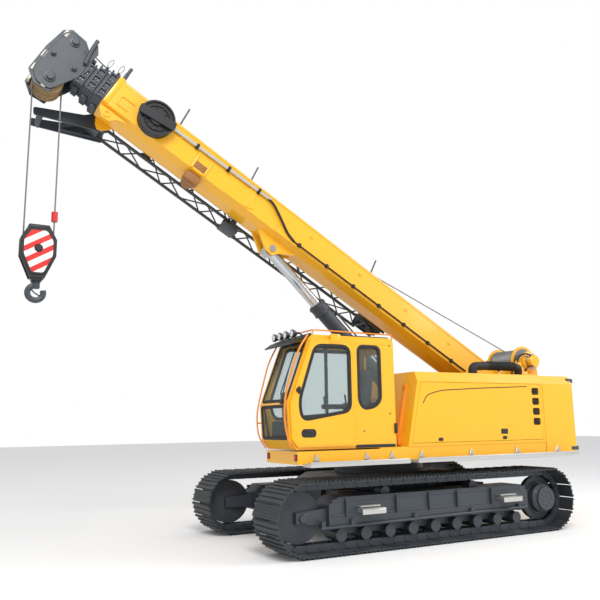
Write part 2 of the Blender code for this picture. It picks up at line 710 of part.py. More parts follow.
# each front window: where its wall starts and ends, and the shares of it that are open
FRONT_SLOPE = ((CAB_FRONT, CAB_WAIST), (CAB_BROW, 3.01), 0.05, 0.93)
LOW_SLOPE = ((2.45, 1.55), (CAB_FRONT, CAB_WAIST), 0.06, 0.94)


def slope_point(start, end, share, depth):
    """Point on the line from start to end, moved behind it by a depth."""
    start, end = Vector(start), Vector(end)
    along = (end - start).normalized()
    behind = Vector((along.y, -along.x)) * -1
    if behind.x > 0:
        behind = -behind
    return tuple(start.lerp(end, share) + behind * depth)


def window_gap(start, end, lower, upper):
    """Side view of the opening in a sloping front window's wall."""
    return [slope_point(start, end, lower, -0.05), slope_point(start, end, upper, -0.05),
            slope_point(start, end, upper, 0.12), slope_point(start, end, lower, 0.12)]


def front_pane(name, start, end, lower, upper):
    """Flat pane let into a front window, close to its edges."""
    gap = SEAT_GAP / (Vector(end) - Vector(start)).length
    low, high = lower + gap, upper - gap
    outline = [slope_point(start, end, low, 0.012), slope_point(start, end, high, 0.012),
               slope_point(start, end, high, 0.020), slope_point(start, end, low, 0.020)]
    return plate(name, outline, FRONT_WINDOW_Y[0] + SEAT_GAP, FRONT_WINDOW_Y[1] - SEAT_GAP)


def side_pane(name, window, radius, y_low, y_high):
    """Flat pane let into a side window."""
    return plate(name, rounded(inset(window, SEAT_GAP), radius - SEAT_GAP), y_low, y_high)


def cab_door():
    """Sliding door outside the cab's left wall, with its window."""
    low = CAB_OUTER + RUN_GAP
    return plate("cab_door", DOOR_SIDE, low, low + DOOR_THICKNESS,
                 holes=[rounded(DOOR_WINDOW, 0.06)])


def seat():
    """Operator's seat on its pedestal."""
    base = block("operator_seat", (0.98, 1.36), (0.70, 1.10), (1.4603 + SEAT_GAP, 1.72))
    cushion = block("cushion", (0.92, 1.48), (0.64, 1.16), (1.70, 1.86))
    back = plate("back", [(0.92, 1.80), (1.08, 1.80), (0.90, 2.62), (0.78, 2.62)], 0.66, 1.14)
    arms = [block("arm", (0.98, 1.50), (0.55, 0.63), (2.00, 2.08)),
            block("arm", (0.98, 1.50), (1.17, 1.25), (2.00, 2.08)),
            block("post", (0.98, 1.06), (0.57, 1.23), (1.78, 2.04))]
    return combine(base, [cushion, back, *arms])


def console():
    """Front console with the display on its stalk."""
    base = block("console", (1.98, 2.20), (0.70, 1.10), (1.4603 + SEAT_GAP, 1.62))
    stalk = bar("stalk", (2.12, 0.62, 1.50), (2.16, 0.62, 2.10), 0.05, 0.05)
    foot = block("foot", (2.04, 2.20), (0.59, 0.75), (1.4603 + SEAT_GAP, 1.52))
    screen = block("screen", (2.13, 2.17), (0.53, 0.72), (2.05, 2.25))
    return combine(base, [foot, stalk, screen])


# ---------------------------------------------------------------- boom
def section_outline(step):
    """Cross-section of a boom section, seen along the boom; step counts inwards."""
    side, roof, belly = BOOM_HALF_WIDTH - step, BOOM_TOP - step, BOOM_BELLY + step
    half = [(BOOM_BELLY_HALF - step * 0.35, belly), (side, BOOM_SIDE_LOW + step * 0.80),
            (side, roof - BOOM_CORNER), (side - BOOM_CORNER, roof)]
    return half + [(-y, z) for y, z in reversed(half)]


def section_tube(name, step, rear, front):
    """Hollow boom section."""
    inner = section_outline(step + BOOM_WALL)
    return plate(name, section_outline(step), rear, front, "YZ", holes=[inner])


def collar_rear(order):
    """Rear face of a section's collar, seated on the section it slides in."""
    return BOOM_FRONT + COLLAR_PITCH * (order - 1) + SEAT_GAP


def collar(order):
    """Pad collar at the front end of a telescopic section."""
    rear = collar_rear(order)
    step = SECTION_STEP * order
    outer = section_outline(step - COLLAR_RIM)
    hole = section_outline(step + 0.004)
    return plate("collar", outer, rear, rear + COLLAR_LENGTH, "YZ", holes=[hole])


def boom_base():
    """Base section with its foot bosses, cylinder lugs and jib lug."""
    body = section_tube("boom_base", 0.0, BOOM_REAR, BOOM_FRONT)
    bosses = []
    lug = [(CYLINDER_LUG.x - 0.42, BOOM_BELLY + 0.005), (CYLINDER_LUG.x + 0.40, BOOM_BELLY + 0.005),
           (CYLINDER_LUG.x + 0.10, CYLINDER_LUG.z - 0.08), (CYLINDER_LUG.x - 0.06, CYLINDER_LUG.z - 0.10),
           (CYLINDER_LUG.x - 0.12, CYLINDER_LUG.z - 0.02)]
    for side in (-1, 1):
        a = Vector((0, side * (BOOM_HALF_WIDTH - 0.005), 0))
        b = Vector((0, side * (BRACKET_INNER - RUN_GAP), 0))
        bosses.append(drum("boss", a, b, 0.15))
        low, high = sorted((side * (ROD_EYE_HALF + RUN_GAP), side * 0.14))
        bosses.append(plate("lug", lug, low, high))
        low, high = sorted((side * 0.20, side * 0.23))
        eye = [(7.92, -0.10), (8.27, -0.10), (8.20, -0.24), (8.14, -0.29), (8.06, -0.27)]
        bosses.append(plate("jib_lug", eye, low, high))
    combine(body, bosses)
    reach = 0.5
    bores = [cross_drum("foot_bore", (0, 0, 0), FOOT_PIN_RADIUS + PIN_GAP, reach),
             cross_drum("head_bore", CYLINDER_LUG, CYLINDER_PIN_RADIUS + PIN_GAP, reach)]
    return cut(body, bores)


def boom_section(name, order):
    """Telescopic section with its collar; the next section's collar seats on its end."""
    front = BOOM_FRONT + COLLAR_PITCH * order
    tube = section_tube(name, SECTION_STEP * order, 0.10 + 0.12 * order, front)
    return combine(tube, [collar(order)])


def boom_tip():
    """Last section with the head's two cheeks and the sheave pins."""
    tube = boom_section("boom_tip", 3)
    start = collar_rear(3)
    cheek = [(start + 0.02, 0.10), (start + 0.10, 0.36), (8.96, 0.56), (9.20, 0.58), (9.30, 0.48),
             (9.34, 0.10), (9.33, -0.36), (9.16, -0.50), (8.93, -0.48), (8.84, -0.10)]
    extras = []
    for side in (-1, 1):
        low, high = sorted((side * HEAD_HALF_WIDTH, side * (HEAD_HALF_WIDTH + HEAD_PLATE)))
        extras.append(plate("cheek", cheek, low, high))
    extras.append(cross_drum("low_pin", LOW_SHEAVE, SHEAVE_PIN_RADIUS, HEAD_HALF_WIDTH + 0.03))
    extras.append(cross_drum("top_pin", TOP_SHEAVE, SHEAVE_PIN_RADIUS, HEAD_HALF_WIDTH + 0.03))
    for place in ((9.30, 0, -0.02), (8.88, 0, 0.40)):
        extras.append(cross_drum("tie", place, 0.018, HEAD_HALF_WIDTH + HEAD_PLATE / 2, 12))
    return combine(tube, extras)


def sheave(name, centre, radius):
    """Rope sheave turned about its pin."""
    bore = SHEAVE_PIN_RADIUS + PIN_GAP
    groove = radius - (SHEAVE_RADIUS - SHEAVE_GROOVE)
    edge = SHEAVE_HALF_WIDTH - 0.004
    flat = SHEAVE_HALF_WIDTH * 0.24
    profile = [(bore, SHEAVE_HALF_WIDTH), (radius, edge), (groove, flat), (groove, -flat),
               (radius, -edge), (bore, -SHEAVE_HALF_WIDTH)]
    return turned(name, profile, centre)


def cable_reel():
    """Length indicator's spring reel on the base section's left face."""
    face = BOOM_HALF_WIDTH + SEAT_GAP
    body = drum("cable_reel", (7.51, face, 0.155), (7.51, face + 0.12, 0.155), 0.28, 40)
    return combine(body, [drum("hub", (7.51, face, 0.155), (7.51, face + 0.15, 0.155), 0.12, 24)])


JIB_STATIONS = (2.45, 3.25, 4.05, 4.85, 5.65, 6.45, 7.25, 8.05)
JIB_INNER, JIB_OUTER = -0.44, -0.86
JIB_LOW, JIB_HIGH = -0.10, 0.26


def swingaway_jib():
    """Lattice jib stowed along the base section's right side."""
    chord = 0.05
    rear, front = JIB_STATIONS[0] - 0.02, JIB_STATIONS[-1] + 0.02
    corners = [(y, z) for y in (JIB_INNER, JIB_OUTER) for z in (JIB_LOW, JIB_HIGH)]
    first = bar("swingaway_jib", (rear, *corners[0]), (front, *corners[0]), chord, chord)
    bars = [bar("chord", (rear, *c), (front, *c), chord, chord) for c in corners[1:]]
    lace = 0.026
    for k, station in enumerate(JIB_STATIONS):
        ring = [corners[0], corners[1], corners[3], corners[2]]
        if k in (0, len(JIB_STATIONS) - 1):
            for a, b in zip(ring, ring[1:] + ring[:1]):
                bars.append(bar("frame", (station, *a), (station, *b), lace, lace))
        if k == len(JIB_STATIONS) - 1:
            continue
        ahead = JIB_STATIONS[k + 1]
        for a, b in zip(ring, ring[1:] + ring[:1]):
            pair = (a, b) if k % 2 == 0 else (b, a)
            bars.append(bar("lace", (station, *pair[0]), (ahead, *pair[1]), lace, lace))
    # foot forks at the front and the head block with its wheel at the rear
    middle = (JIB_INNER + JIB_OUTER) / 2
    foot = [(7.98, -0.14), (8.98, -0.62), (9.05, -0.52), (8.30, -0.05), (8.08, 0.10)]
    for y in (JIB_INNER, JIB_OUTER):
        bars.append(plate("fork", foot, y - 0.015, y + 0.015))
    bars.append(block("head", (2.02, 2.50), (middle - 0.235, middle + 0.235), (-0.08, 0.16)))
    for station in (3.6, 7.0):
        gap = -BOOM_HALF_WIDTH - SEAT_GAP
        bars.append(block("hanger", (station - 0.05, station + 0.05), (JIB_INNER - 0.01, gap),
                          (JIB_HIGH - 0.06, JIB_HIGH + 0.02)))
    return combine(first, bars)


# ---------------------------------------------------------------- lift cylinder
def cylinder_points():
    """Foot pin, head pin and unit run of the lift cylinder in machine axes."""
    head = boom_to_machine() @ CYLINDER_LUG
    run = (head - CYLINDER_FOOT)
    return CYLINDER_FOOT.copy(), head, run.normalized()


def lift_barrel():
    """Barrel with its foot eye and gland, bored for the rod."""
    foot, head, run = cylinder_points()
    body = drum("lift_cylinder_barrel", foot + run * 0.10, foot + run * BARREL_LENGTH, BARREL_RADIUS)
    eye = cross_drum("eye", foot, 0.12, 0.15)
    gland = drum("gland", foot + run * (BARREL_LENGTH - 0.16), foot + run * (BARREL_LENGTH + 0.02),
                 BARREL_RADIUS + 0.018)
    combine(body, [eye, gland])
    bore = drum("bore", foot + run * 0.35, foot + run * (BARREL_LENGTH + 0.1),
                ROD_RADIUS + PIN_GAP)
    return cut(body, [bore])


def lift_rod():
    """Chromed rod with its eye between the boom's lugs."""
    foot, head, run = cylinder_points()
    rod = drum("lift_cylinder_rod", foot + run * 1.95, head - run * 0.05, ROD_RADIUS)
    eye = cross_drum("eye", head, 0.115, ROD_EYE_HALF)
    combine(rod, [eye])
    return cut(rod, [cross_drum("bore", head, CYLINDER_PIN_RADIUS + PIN_GAP, 0.3)])


def cylinder_head_pin():
    """Pin through the boom's lugs and the rod's eye."""
    _, head, _ = cylinder_points()
    return cross_drum("lift_cylinder_pin", head, CYLINDER_PIN_RADIUS, 0.16)


# ---------------------------------------------------------------- hook
def hook_places():
    """Head sheave axis and block sheave axis in machine axes."""
    top = boom_to_machine() @ LOW_SHEAVE
    return top, top - Vector((0, 0, BLOCK_DROP))


def rope_falls():
    """Two parts of hoist rope, one loop under the block's sheave."""
    top, low = hook_places()
    reach = SHEAVE_GROOVE + ROPE_RADIUS + SEAT_GAP
    points = [(top.x + reach, 0, top.z)]
    steps = 32
    for k in range(steps + 1):
        angle = -math.pi * k / steps
        points.append((low.x + reach * math.cos(angle), 0, low.z + reach * math.sin(angle)))
    points.append((top.x - reach, 0, top.z))
    return rod_along("rope_falls", points, ROPE_RADIUS)


def hook_block():
    """Two cheek plates with the sheave pin and the hook's crosshead."""
    _, low = hook_places()
    x, _, z = low
    outline = [(x - 0.10, z - 0.42), (x + 0.10, z - 0.42), (x + 0.24, z - 0.10), (x + 0.24, z + 0.14),
               (x + 0.13, z + 0.34), (x - 0.13, z + 0.34), (x - 0.24, z + 0.14), (x - 0.24, z - 0.10)]
    left = plate("hook_block", outline, 0.055, 0.095)
    extras = [plate("cheek", outline, -0.095, -0.055),
              cross_drum("pin", low, SHEAVE_PIN_RADIUS, 0.11),
              block("crosshead", (x - 0.09, x + 0.09), (-0.07, 0.07), (z - 0.42, z - 0.27))]
    combine(left, extras)
    return cut(left, [drum("bore", (x, 0, z - 0.5), (x, 0, z - 0.2), 0.030 + PIN_GAP, 24)])


def crane_hook():
    """Forged hook that swivels under the block."""
    _, low = hook_places()
    x, z = low.x, low.z
    shank = drum("hook", (x, 0, z - 0.50), (x, 0, z - 0.24), 0.030, 24)
    eye = Vector((x, 0, z - 0.62))
    points = [(x, 0, z - 0.45)]
    for k in range(15):
        angle = math.radians(90 - 290 * k / 14)
        points.append((eye.x + 0.105 * math.cos(angle), 0, eye.z + 0.105 * math.sin(angle)))
    return combine(shank, [rod_along("bend", points, 0.042)])


def two_block_weight():
    """Weight of the hoist limit switch, hung round the rope above the block."""
    _, low = hook_places()
    x = low.x - SHEAVE_GROOVE - ROPE_RADIUS - SEAT_GAP
    z = low.z + 0.50
    ring = [(0.045 * math.cos(a), 0.045 * math.sin(a)) for a in arc_steps(20)]
    hole = [(0.0118 * math.cos(a), 0.0118 * math.sin(a)) for a in arc_steps(20)]
    shift = [[(x + u, v) for u, v in loop] for loop in (ring, hole)]
    return plate("limit_weight", shift[0], z - 0.07, z + 0.07, "XY", holes=[shift[1]])


def arc_steps(count):
    """Angles round a full circle."""
    return [2 * math.pi * k / count for k in range(count)]


# ---------------------------------------------------------------- assembly
def build():
    """Make every piece and hang it on the axis that it moves about."""
    fresh_scene()
    yellow = material("crane_yellow", YELLOW, 0.32)
    slate = material("slate_paint", SLATE, 0.5)
    black = material("track_black", BLACK, 0.6)
    steel = material("bare_steel", (0.42, 0.43, 0.45), 0.3, 0.9)
    silver = material("walkway_aluminium", SILVER, 0.4, 0.8)
    glass = material("cab_glass", (0.62, 0.68, 0.68), 0.05)
    trim = material("black_trim", (0.02, 0.02, 0.022), 0.55)
    rope = material("wire_rope", (0.30, 0.30, 0.30), 0.45, 0.8)

    ground = joint_axis("machine", Matrix.Identity(4), None)
    finish(carbody(), slate, ground)
    finish(slew_ring(), slate, ground)
    for side, word in ((1, "left"), (-1, "right")):
        place = Matrix.Translation((0, side * TRACK_CENTRE_Y, 0))
        crawler = joint_axis("crawler_" + word + "_slide", place, ground)
        finish(track_frame("track_frame_" + word, side), slate, crawler)
        finish(roller_bank("roller_bank_" + word, side), black, crawler)
        finish(idler("idler_" + word, side), slate, crawler)
        finish(sprocket("sprocket_" + word, side), slate, crawler)
        finish(track("track_" + word, side), black, crawler, 15)

    slew = joint_axis("slew_axis", Matrix.Translation((0, 0, DECK_BOTTOM)), ground)
    finish(deck(), yellow, slew)
    finish(counterweight(), yellow, slew)
    finish(left_housing(), yellow, slew)
    finish(housing("housing_right", -1, -0.16, -0.30), yellow, slew)
    finish(block("fuel_tank", (-0.10, 0.90), (-1.36, -0.62), (DECK_TOP + SEAT_GAP, 1.86)), yellow, slew)
    finish(block("engine_block", (-2.20, -1.10), (0.66, 1.26), (DECK_TOP + SEAT_GAP, 2.25)), slate, slew)
    finish(catwalk("catwalk_front", (0.56, 2.26)), silver, slew)
    finish(catwalk("catwalk_rear", (-3.05, 0.42)), silver, slew)
    finish(winch_frame(), yellow, slew)
    lid = joint_axis("housing_door_hinge", Matrix.Translation((0, HOUSING_SIDE, 2.40)), slew)
    finish(housing_door(), yellow, lid)
    spool = joint_axis("winch_axis", Matrix.Translation(WINCH_AXIS), slew)
    finish(winch_drum(), yellow, spool)

    cab = joint_axis("cab_tilt_axis", Matrix.Translation(TILT_AXIS), slew)
    finish(cab_shell(), yellow, cab)
    finish(front_pane("windscreen", *FRONT_SLOPE), glass, cab)
    finish(front_pane("front_glass_low", *LOW_SLOPE), glass, cab)
    finish(side_pane("side_glass_rear", REAR_WINDOW, 0.04, CAB_OUTER - 0.024, CAB_OUTER - 0.016),
           glass, cab)
    finish(side_pane("side_glass_right", RIGHT_WINDOW, 0.05, CAB_INNER + 0.016, CAB_INNER + 0.024),
           glass, cab)
    back = rectangle((0.60 + SEAT_GAP, 1.20 - SEAT_GAP), (2.15 + SEAT_GAP, 2.85 - SEAT_GAP))
    finish(plate("back_glass", back, CAB_REAR + 0.016, CAB_REAR + 0.024, "YZ"), glass, cab)
    finish(seat(), trim, cab)
    finish(console(), trim, cab)
    door = joint_axis("cab_door_slide", Matrix.Translation((DOOR_REAR, CAB_OUTER, 2.2)), cab)
    finish(cab_door(), yellow, door)
    low = CAB_OUTER + RUN_GAP + 0.016
    finish(side_pane("door_glass", DOOR_WINDOW, 0.06, low, low + 0.008), glass, door)

    boom = joint_axis("boom_foot_axis", boom_to_machine(), slew)
    finish(in_boom(boom_base()), yellow, boom)
    finish(in_boom(cable_reel()), trim, boom)
    finish(in_boom(swingaway_jib()), slate, boom)
    finish(cylinder_head_pin(), steel, boom)
    parent = boom
    for order, name in ((1, "boom_section_2"), (2, "boom_section_3")):
        place = boom_to_machine() @ Matrix.Translation((BOOM_FRONT, 0, 0))
        parent = joint_axis(name + "_slide", place, parent)
        finish(in_boom(boom_section(name, order)), slate, parent)
    tip = joint_axis("boom_tip_slide", boom_to_machine() @ Matrix.Translation((BOOM_FRONT, 0, 0)), parent)
    finish(in_boom(boom_tip()), slate, tip)
    for name, centre, radius in (("head_sheave_low", LOW_SHEAVE, SHEAVE_RADIUS),
                                 ("head_sheave_top", TOP_SHEAVE, 0.165)):
        pin = joint_axis(name + "_axis", boom_to_machine() @ Matrix.Translation(centre), tip)
        finish(in_boom(sheave(name, centre, radius)), rope, pin)

    foot, head, run = cylinder_points()
    turn = run.to_track_quat("X", "Y").to_matrix().to_4x4()
    rod = joint_axis("lift_rod_axis", Matrix.Translation(head) @ turn, boom)
    finish(lift_rod(), steel, rod)
    barrel = joint_axis("lift_barrel_slide", Matrix.Translation(foot) @ turn, rod)
    finish(lift_barrel(), slate, barrel)

    top, low_axis = hook_places()
    plumb = joint_axis("hook_plumb_axis", Matrix.Translation(top), tip)
    finish(rope_falls(), rope, plumb)
    finish(hook_block(), trim, plumb)
    finish(two_block_weight(), trim, plumb)
    spin = joint_axis("block_sheave_axis", Matrix.Translation(low_axis), plumb)
    finish(sheave("block_sheave", low_axis, SHEAVE_RADIUS), rope, spin)
    swivel = joint_axis("hook_swivel_axis", Matrix.Translation(low_axis), plumb)
    finish(crane_hook(), trim, swivel)


build()
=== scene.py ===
# %% [markdown]
# # A telescopic boom crawler crane
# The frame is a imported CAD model: every steel part has its true place and its joint there.
# This lesson adds what a viewer sees: paint, glass, shoes, ropes, lamps, rails and hoses.
# New pieces are surfaces worked out with numpy, so each shape is a formula that can be read.
# %% Load the frame
import json
import math
import bmesh
import bpy
import numpy as np
from mathutils import Matrix
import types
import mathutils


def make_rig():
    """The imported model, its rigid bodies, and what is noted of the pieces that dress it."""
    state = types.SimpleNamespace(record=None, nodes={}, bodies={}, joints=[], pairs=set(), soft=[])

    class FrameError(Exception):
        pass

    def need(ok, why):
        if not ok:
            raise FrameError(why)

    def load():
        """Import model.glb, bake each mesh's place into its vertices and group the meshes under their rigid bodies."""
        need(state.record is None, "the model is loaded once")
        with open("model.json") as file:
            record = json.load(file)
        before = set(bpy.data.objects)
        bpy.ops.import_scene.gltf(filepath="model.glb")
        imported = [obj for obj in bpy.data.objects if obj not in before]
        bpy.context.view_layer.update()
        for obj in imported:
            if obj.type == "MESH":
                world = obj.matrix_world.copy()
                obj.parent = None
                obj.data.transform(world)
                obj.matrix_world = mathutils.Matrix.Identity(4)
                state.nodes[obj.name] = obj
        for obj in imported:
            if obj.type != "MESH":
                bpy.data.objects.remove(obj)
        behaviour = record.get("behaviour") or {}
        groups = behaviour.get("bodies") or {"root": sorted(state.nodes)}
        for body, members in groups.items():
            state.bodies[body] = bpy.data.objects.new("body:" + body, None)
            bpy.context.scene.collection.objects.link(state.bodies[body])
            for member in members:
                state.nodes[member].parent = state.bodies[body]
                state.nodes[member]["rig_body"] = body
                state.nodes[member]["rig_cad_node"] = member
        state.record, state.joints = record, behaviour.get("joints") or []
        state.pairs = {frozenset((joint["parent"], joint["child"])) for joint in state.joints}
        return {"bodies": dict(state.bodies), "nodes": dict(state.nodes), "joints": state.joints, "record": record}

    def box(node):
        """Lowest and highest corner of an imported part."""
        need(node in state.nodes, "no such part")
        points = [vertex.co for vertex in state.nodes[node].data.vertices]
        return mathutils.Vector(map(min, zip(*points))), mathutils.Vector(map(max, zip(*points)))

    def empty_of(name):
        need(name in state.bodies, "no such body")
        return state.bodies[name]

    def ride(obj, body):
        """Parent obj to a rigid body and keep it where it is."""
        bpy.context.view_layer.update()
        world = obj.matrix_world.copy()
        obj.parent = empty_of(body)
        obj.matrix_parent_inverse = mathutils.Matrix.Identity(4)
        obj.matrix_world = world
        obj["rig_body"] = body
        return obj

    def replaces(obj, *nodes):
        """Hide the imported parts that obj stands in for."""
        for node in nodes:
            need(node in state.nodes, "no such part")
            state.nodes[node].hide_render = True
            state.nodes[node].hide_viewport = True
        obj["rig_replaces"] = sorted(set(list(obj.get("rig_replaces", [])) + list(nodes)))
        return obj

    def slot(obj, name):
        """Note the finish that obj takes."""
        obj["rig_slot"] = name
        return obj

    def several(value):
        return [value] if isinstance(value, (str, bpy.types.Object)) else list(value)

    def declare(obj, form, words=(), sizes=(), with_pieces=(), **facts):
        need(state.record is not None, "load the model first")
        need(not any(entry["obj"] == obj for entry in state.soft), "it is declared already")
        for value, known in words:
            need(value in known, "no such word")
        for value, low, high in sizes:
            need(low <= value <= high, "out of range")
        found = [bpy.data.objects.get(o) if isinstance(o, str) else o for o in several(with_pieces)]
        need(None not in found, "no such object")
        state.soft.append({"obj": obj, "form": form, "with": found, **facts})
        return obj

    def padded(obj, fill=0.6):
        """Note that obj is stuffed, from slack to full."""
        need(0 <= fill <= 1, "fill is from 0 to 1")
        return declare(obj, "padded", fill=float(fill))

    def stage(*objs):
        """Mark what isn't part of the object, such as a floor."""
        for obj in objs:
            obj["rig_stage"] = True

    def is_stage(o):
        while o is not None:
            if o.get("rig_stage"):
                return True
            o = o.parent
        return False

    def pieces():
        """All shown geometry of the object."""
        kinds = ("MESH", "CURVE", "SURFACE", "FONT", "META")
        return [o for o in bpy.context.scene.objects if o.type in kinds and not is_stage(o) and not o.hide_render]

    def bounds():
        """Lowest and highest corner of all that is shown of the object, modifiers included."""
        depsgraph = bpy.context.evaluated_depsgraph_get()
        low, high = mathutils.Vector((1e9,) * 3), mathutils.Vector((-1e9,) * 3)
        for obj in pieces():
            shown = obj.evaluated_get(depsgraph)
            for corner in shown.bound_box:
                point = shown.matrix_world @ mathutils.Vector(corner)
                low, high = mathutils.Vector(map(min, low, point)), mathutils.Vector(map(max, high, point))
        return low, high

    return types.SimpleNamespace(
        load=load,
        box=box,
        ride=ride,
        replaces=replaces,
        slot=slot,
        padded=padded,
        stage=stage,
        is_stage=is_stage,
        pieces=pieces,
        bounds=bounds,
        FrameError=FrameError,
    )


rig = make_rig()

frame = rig.load()
cad_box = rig.bounds()
joints = {joint["name"]: joint for joint in frame["record"]["behaviour"]["joints"]}
print("nodes", len(frame["nodes"]), "bodies", len(frame["bodies"]))

# %% [markdown]
# ## Two sets of axes
# A crane is drawn in machine axes, whose origin is the slewing axis on the ground, and in
# boom axes, whose origin is the boom's foot pin with X along the boom. Both come from the
# frame's joints, so a detail stays in place if the frame is packed again.
# %% Machine axes and boom axes
SLEW_X = joints["slew"]["pos_m"][0]
FOOT = np.array(joints["boom_luff"]["pos_m"])
RUN = np.array(joints["telescope_1"]["axis"])
ACROSS = np.array([0.0, 1.0, 0.0])
RISE = np.cross(RUN, ACROSS)
LOW_PIN = np.array(joints["low_sheave_spin"]["pos_m"])
TOP_PIN = np.array(joints["top_sheave_spin"]["pos_m"])


def machine(shape):
    """Shape drawn in machine axes, moved along X to the frame's axes."""
    return shape[0] + np.array([SLEW_X, 0.0, 0.0]), shape[1]


def boom(shape):
    """Shape drawn in boom axes: foot pin plus x runs, y acrosses and z rises."""
    p = shape[0]
    return FOOT + p[:, :1] * RUN + p[:, 1:2] * ACROSS + p[:, 2:] * RISE, shape[1]


def mirror(shape):
    """Shape and its mirror image across the machine's middle plane, as one shape."""
    return join(shape, (shape[0] * [1.0, -1.0, 1.0], shape[1]))


print("slewing axis at x", round(SLEW_X, 4), "boom foot", FOOT.round(3))

# %% [markdown]
# ## Camera, floor and light
# The camera stands low beside the cab with a normal lens. The floor and the sky are pale and
# plain, and soft light from all round shows each colour about as it is written.
# %% Camera
CAMERA_PLACE = np.array([6.885 + SLEW_X, 9.908, 1.780])
YAW, PITCH, ROLL = -2.06696, 0.18015, 0.01345
ahead = np.array([math.cos(PITCH) * math.cos(YAW), math.cos(PITCH) * math.sin(YAW),
                  math.sin(PITCH)])
right = np.cross(ahead, [0.0, 0.0, 1.0])
right /= np.linalg.norm(right)
down = -np.cross(right, ahead)
right, down = (math.cos(ROLL) * right + math.sin(ROLL) * down,
               math.cos(ROLL) * down - math.sin(ROLL) * right)
lens = bpy.data.cameras.new("camera")
lens.sensor_width = 36.0
lens.lens = 40.82
lens.clip_end = 200.0
eye = bpy.data.objects.new("camera", lens)
turn = Matrix([[right[i], -down[i], -ahead[i]] for i in range(3)]).to_4x4()
eye.matrix_world = Matrix.Translation(CAMERA_PLACE) @ turn
bpy.context.scene.collection.objects.link(eye)
bpy.context.scene.camera = eye
bpy.context.scene.view_settings.view_transform = "Standard"
print("camera at", CAMERA_PLACE.round(2))

# %% Floor, sky and lamps
world = bpy.data.worlds.new("sky")
world.use_nodes = True
bpy.context.scene.world = world
sky = world.node_tree
for node in list(sky.nodes):
    sky.nodes.remove(node)
path = sky.nodes.new("ShaderNodeLightPath")
shine = sky.nodes.new("ShaderNodeBackground")
shine.inputs["Strength"].default_value = 0.72
white = sky.nodes.new("ShaderNodeBackground")
white.inputs["Strength"].default_value = 1.0
for back in (shine, white):
    back.inputs["Color"].default_value = (1.0, 1.0, 1.0, 1.0)
seen = sky.nodes.new("ShaderNodeMath")
seen.operation = "MAXIMUM"
choose = sky.nodes.new("ShaderNodeMixShader")
out = sky.nodes.new("ShaderNodeOutputWorld")
sky.links.new(path.outputs["Is Camera Ray"], seen.inputs[0])
sky.links.new(path.outputs["Is Transmission Ray"], seen.inputs[1])
sky.links.new(seen.outputs[0], choose.inputs[0])
sky.links.new(shine.outputs[0], choose.inputs[1])
sky.links.new(white.outputs[0], choose.inputs[2])
sky.links.new(choose.outputs[0], out.inputs[0])


def lamp(name, place, aim, size, power):
    """Square area lamp at a place, turned towards a point."""
    light = bpy.data.lights.new(name, "AREA")
    light.size = size
    light.energy = power
    item = bpy.data.objects.new(name, light)
    facing = (np.array(aim) - np.array(place)).tolist()
    quat = Matrix.Translation((0, 0, 0)).to_quaternion()
    from_to = __import__("mathutils").Vector(facing).to_track_quat("-Z", "Y")
    item.rotation_mode = "QUATERNION"
    item.rotation_quaternion = from_to @ quat
    item.location = place
    bpy.context.scene.collection.objects.link(item)


lamp("key_lamp", (6.0, 14.0, 16.0), (0.0, 0.0, 2.0), 8.0, 2300.0)
lamp("fill_lamp", (-12.0, 8.0, 9.0), (0.0, 0.0, 2.0), 8.0, 700.0)
ground = bpy.data.meshes.new("floor")
ground.from_pydata([(-60, -60, -0.002), (60, -60, -0.002), (60, 60, -0.002),
                    (-60, 60, -0.002)], [], [(0, 1, 2, 3)])
floor = bpy.data.objects.new("floor", ground)
bpy.context.scene.collection.objects.link(floor)
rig.stage(floor)
print("world strength", shine.inputs["Strength"].default_value)

# %% [markdown]
# ## Shapes as arrays
# A shape is a pair: points, and lists of faces that count into them. A grid of points in rows
# and columns is enough for tubes, plates, turned parts and rounded boxes. Profiles carried
# along a path could also be made with curve objects, but arrays give full control of the
# ends, and hundreds of copies cost nothing.


# %% Grids and joining
def grid_faces(rows, columns, wrap_rows=False, wrap_columns=True):
    """Four-sided faces of a grid of points: each square takes a point and its neighbours."""
    r = np.arange(rows if wrap_rows else rows - 1)
    c = np.arange(columns if wrap_columns else columns - 1)
    r, c = np.meshgrid(r, c, indexing="ij")
    r1, c1 = (r + 1) % rows, (c + 1) % columns
    return np.stack([r * columns + c, r * columns + c1, r1 * columns + c1,
                     r1 * columns + c], -1).reshape(-1, 4)


def join(*shapes):
    """One shape from several: points in a row, each face list moved on by the points before."""
    points, faces, start = [], [], 0
    for shape_points, shape_faces in shapes:
        points.append(shape_points)
        faces += [face + start for face in shape_faces]
        start += len(shape_points)
    return np.concatenate(points), faces


def copies(shape, places):
    """The shape once at each place: points plus place, for all places at once."""
    places = np.atleast_2d(np.array(places, float))
    points = (shape[0][None] + places[:, None]).reshape(-1, 3)
    step = (np.arange(len(places)) * len(shape[0]))[:, None, None]
    faces = [(face[None] + step).reshape(-1, face.shape[1]) for face in shape[1]]
    return points, faces


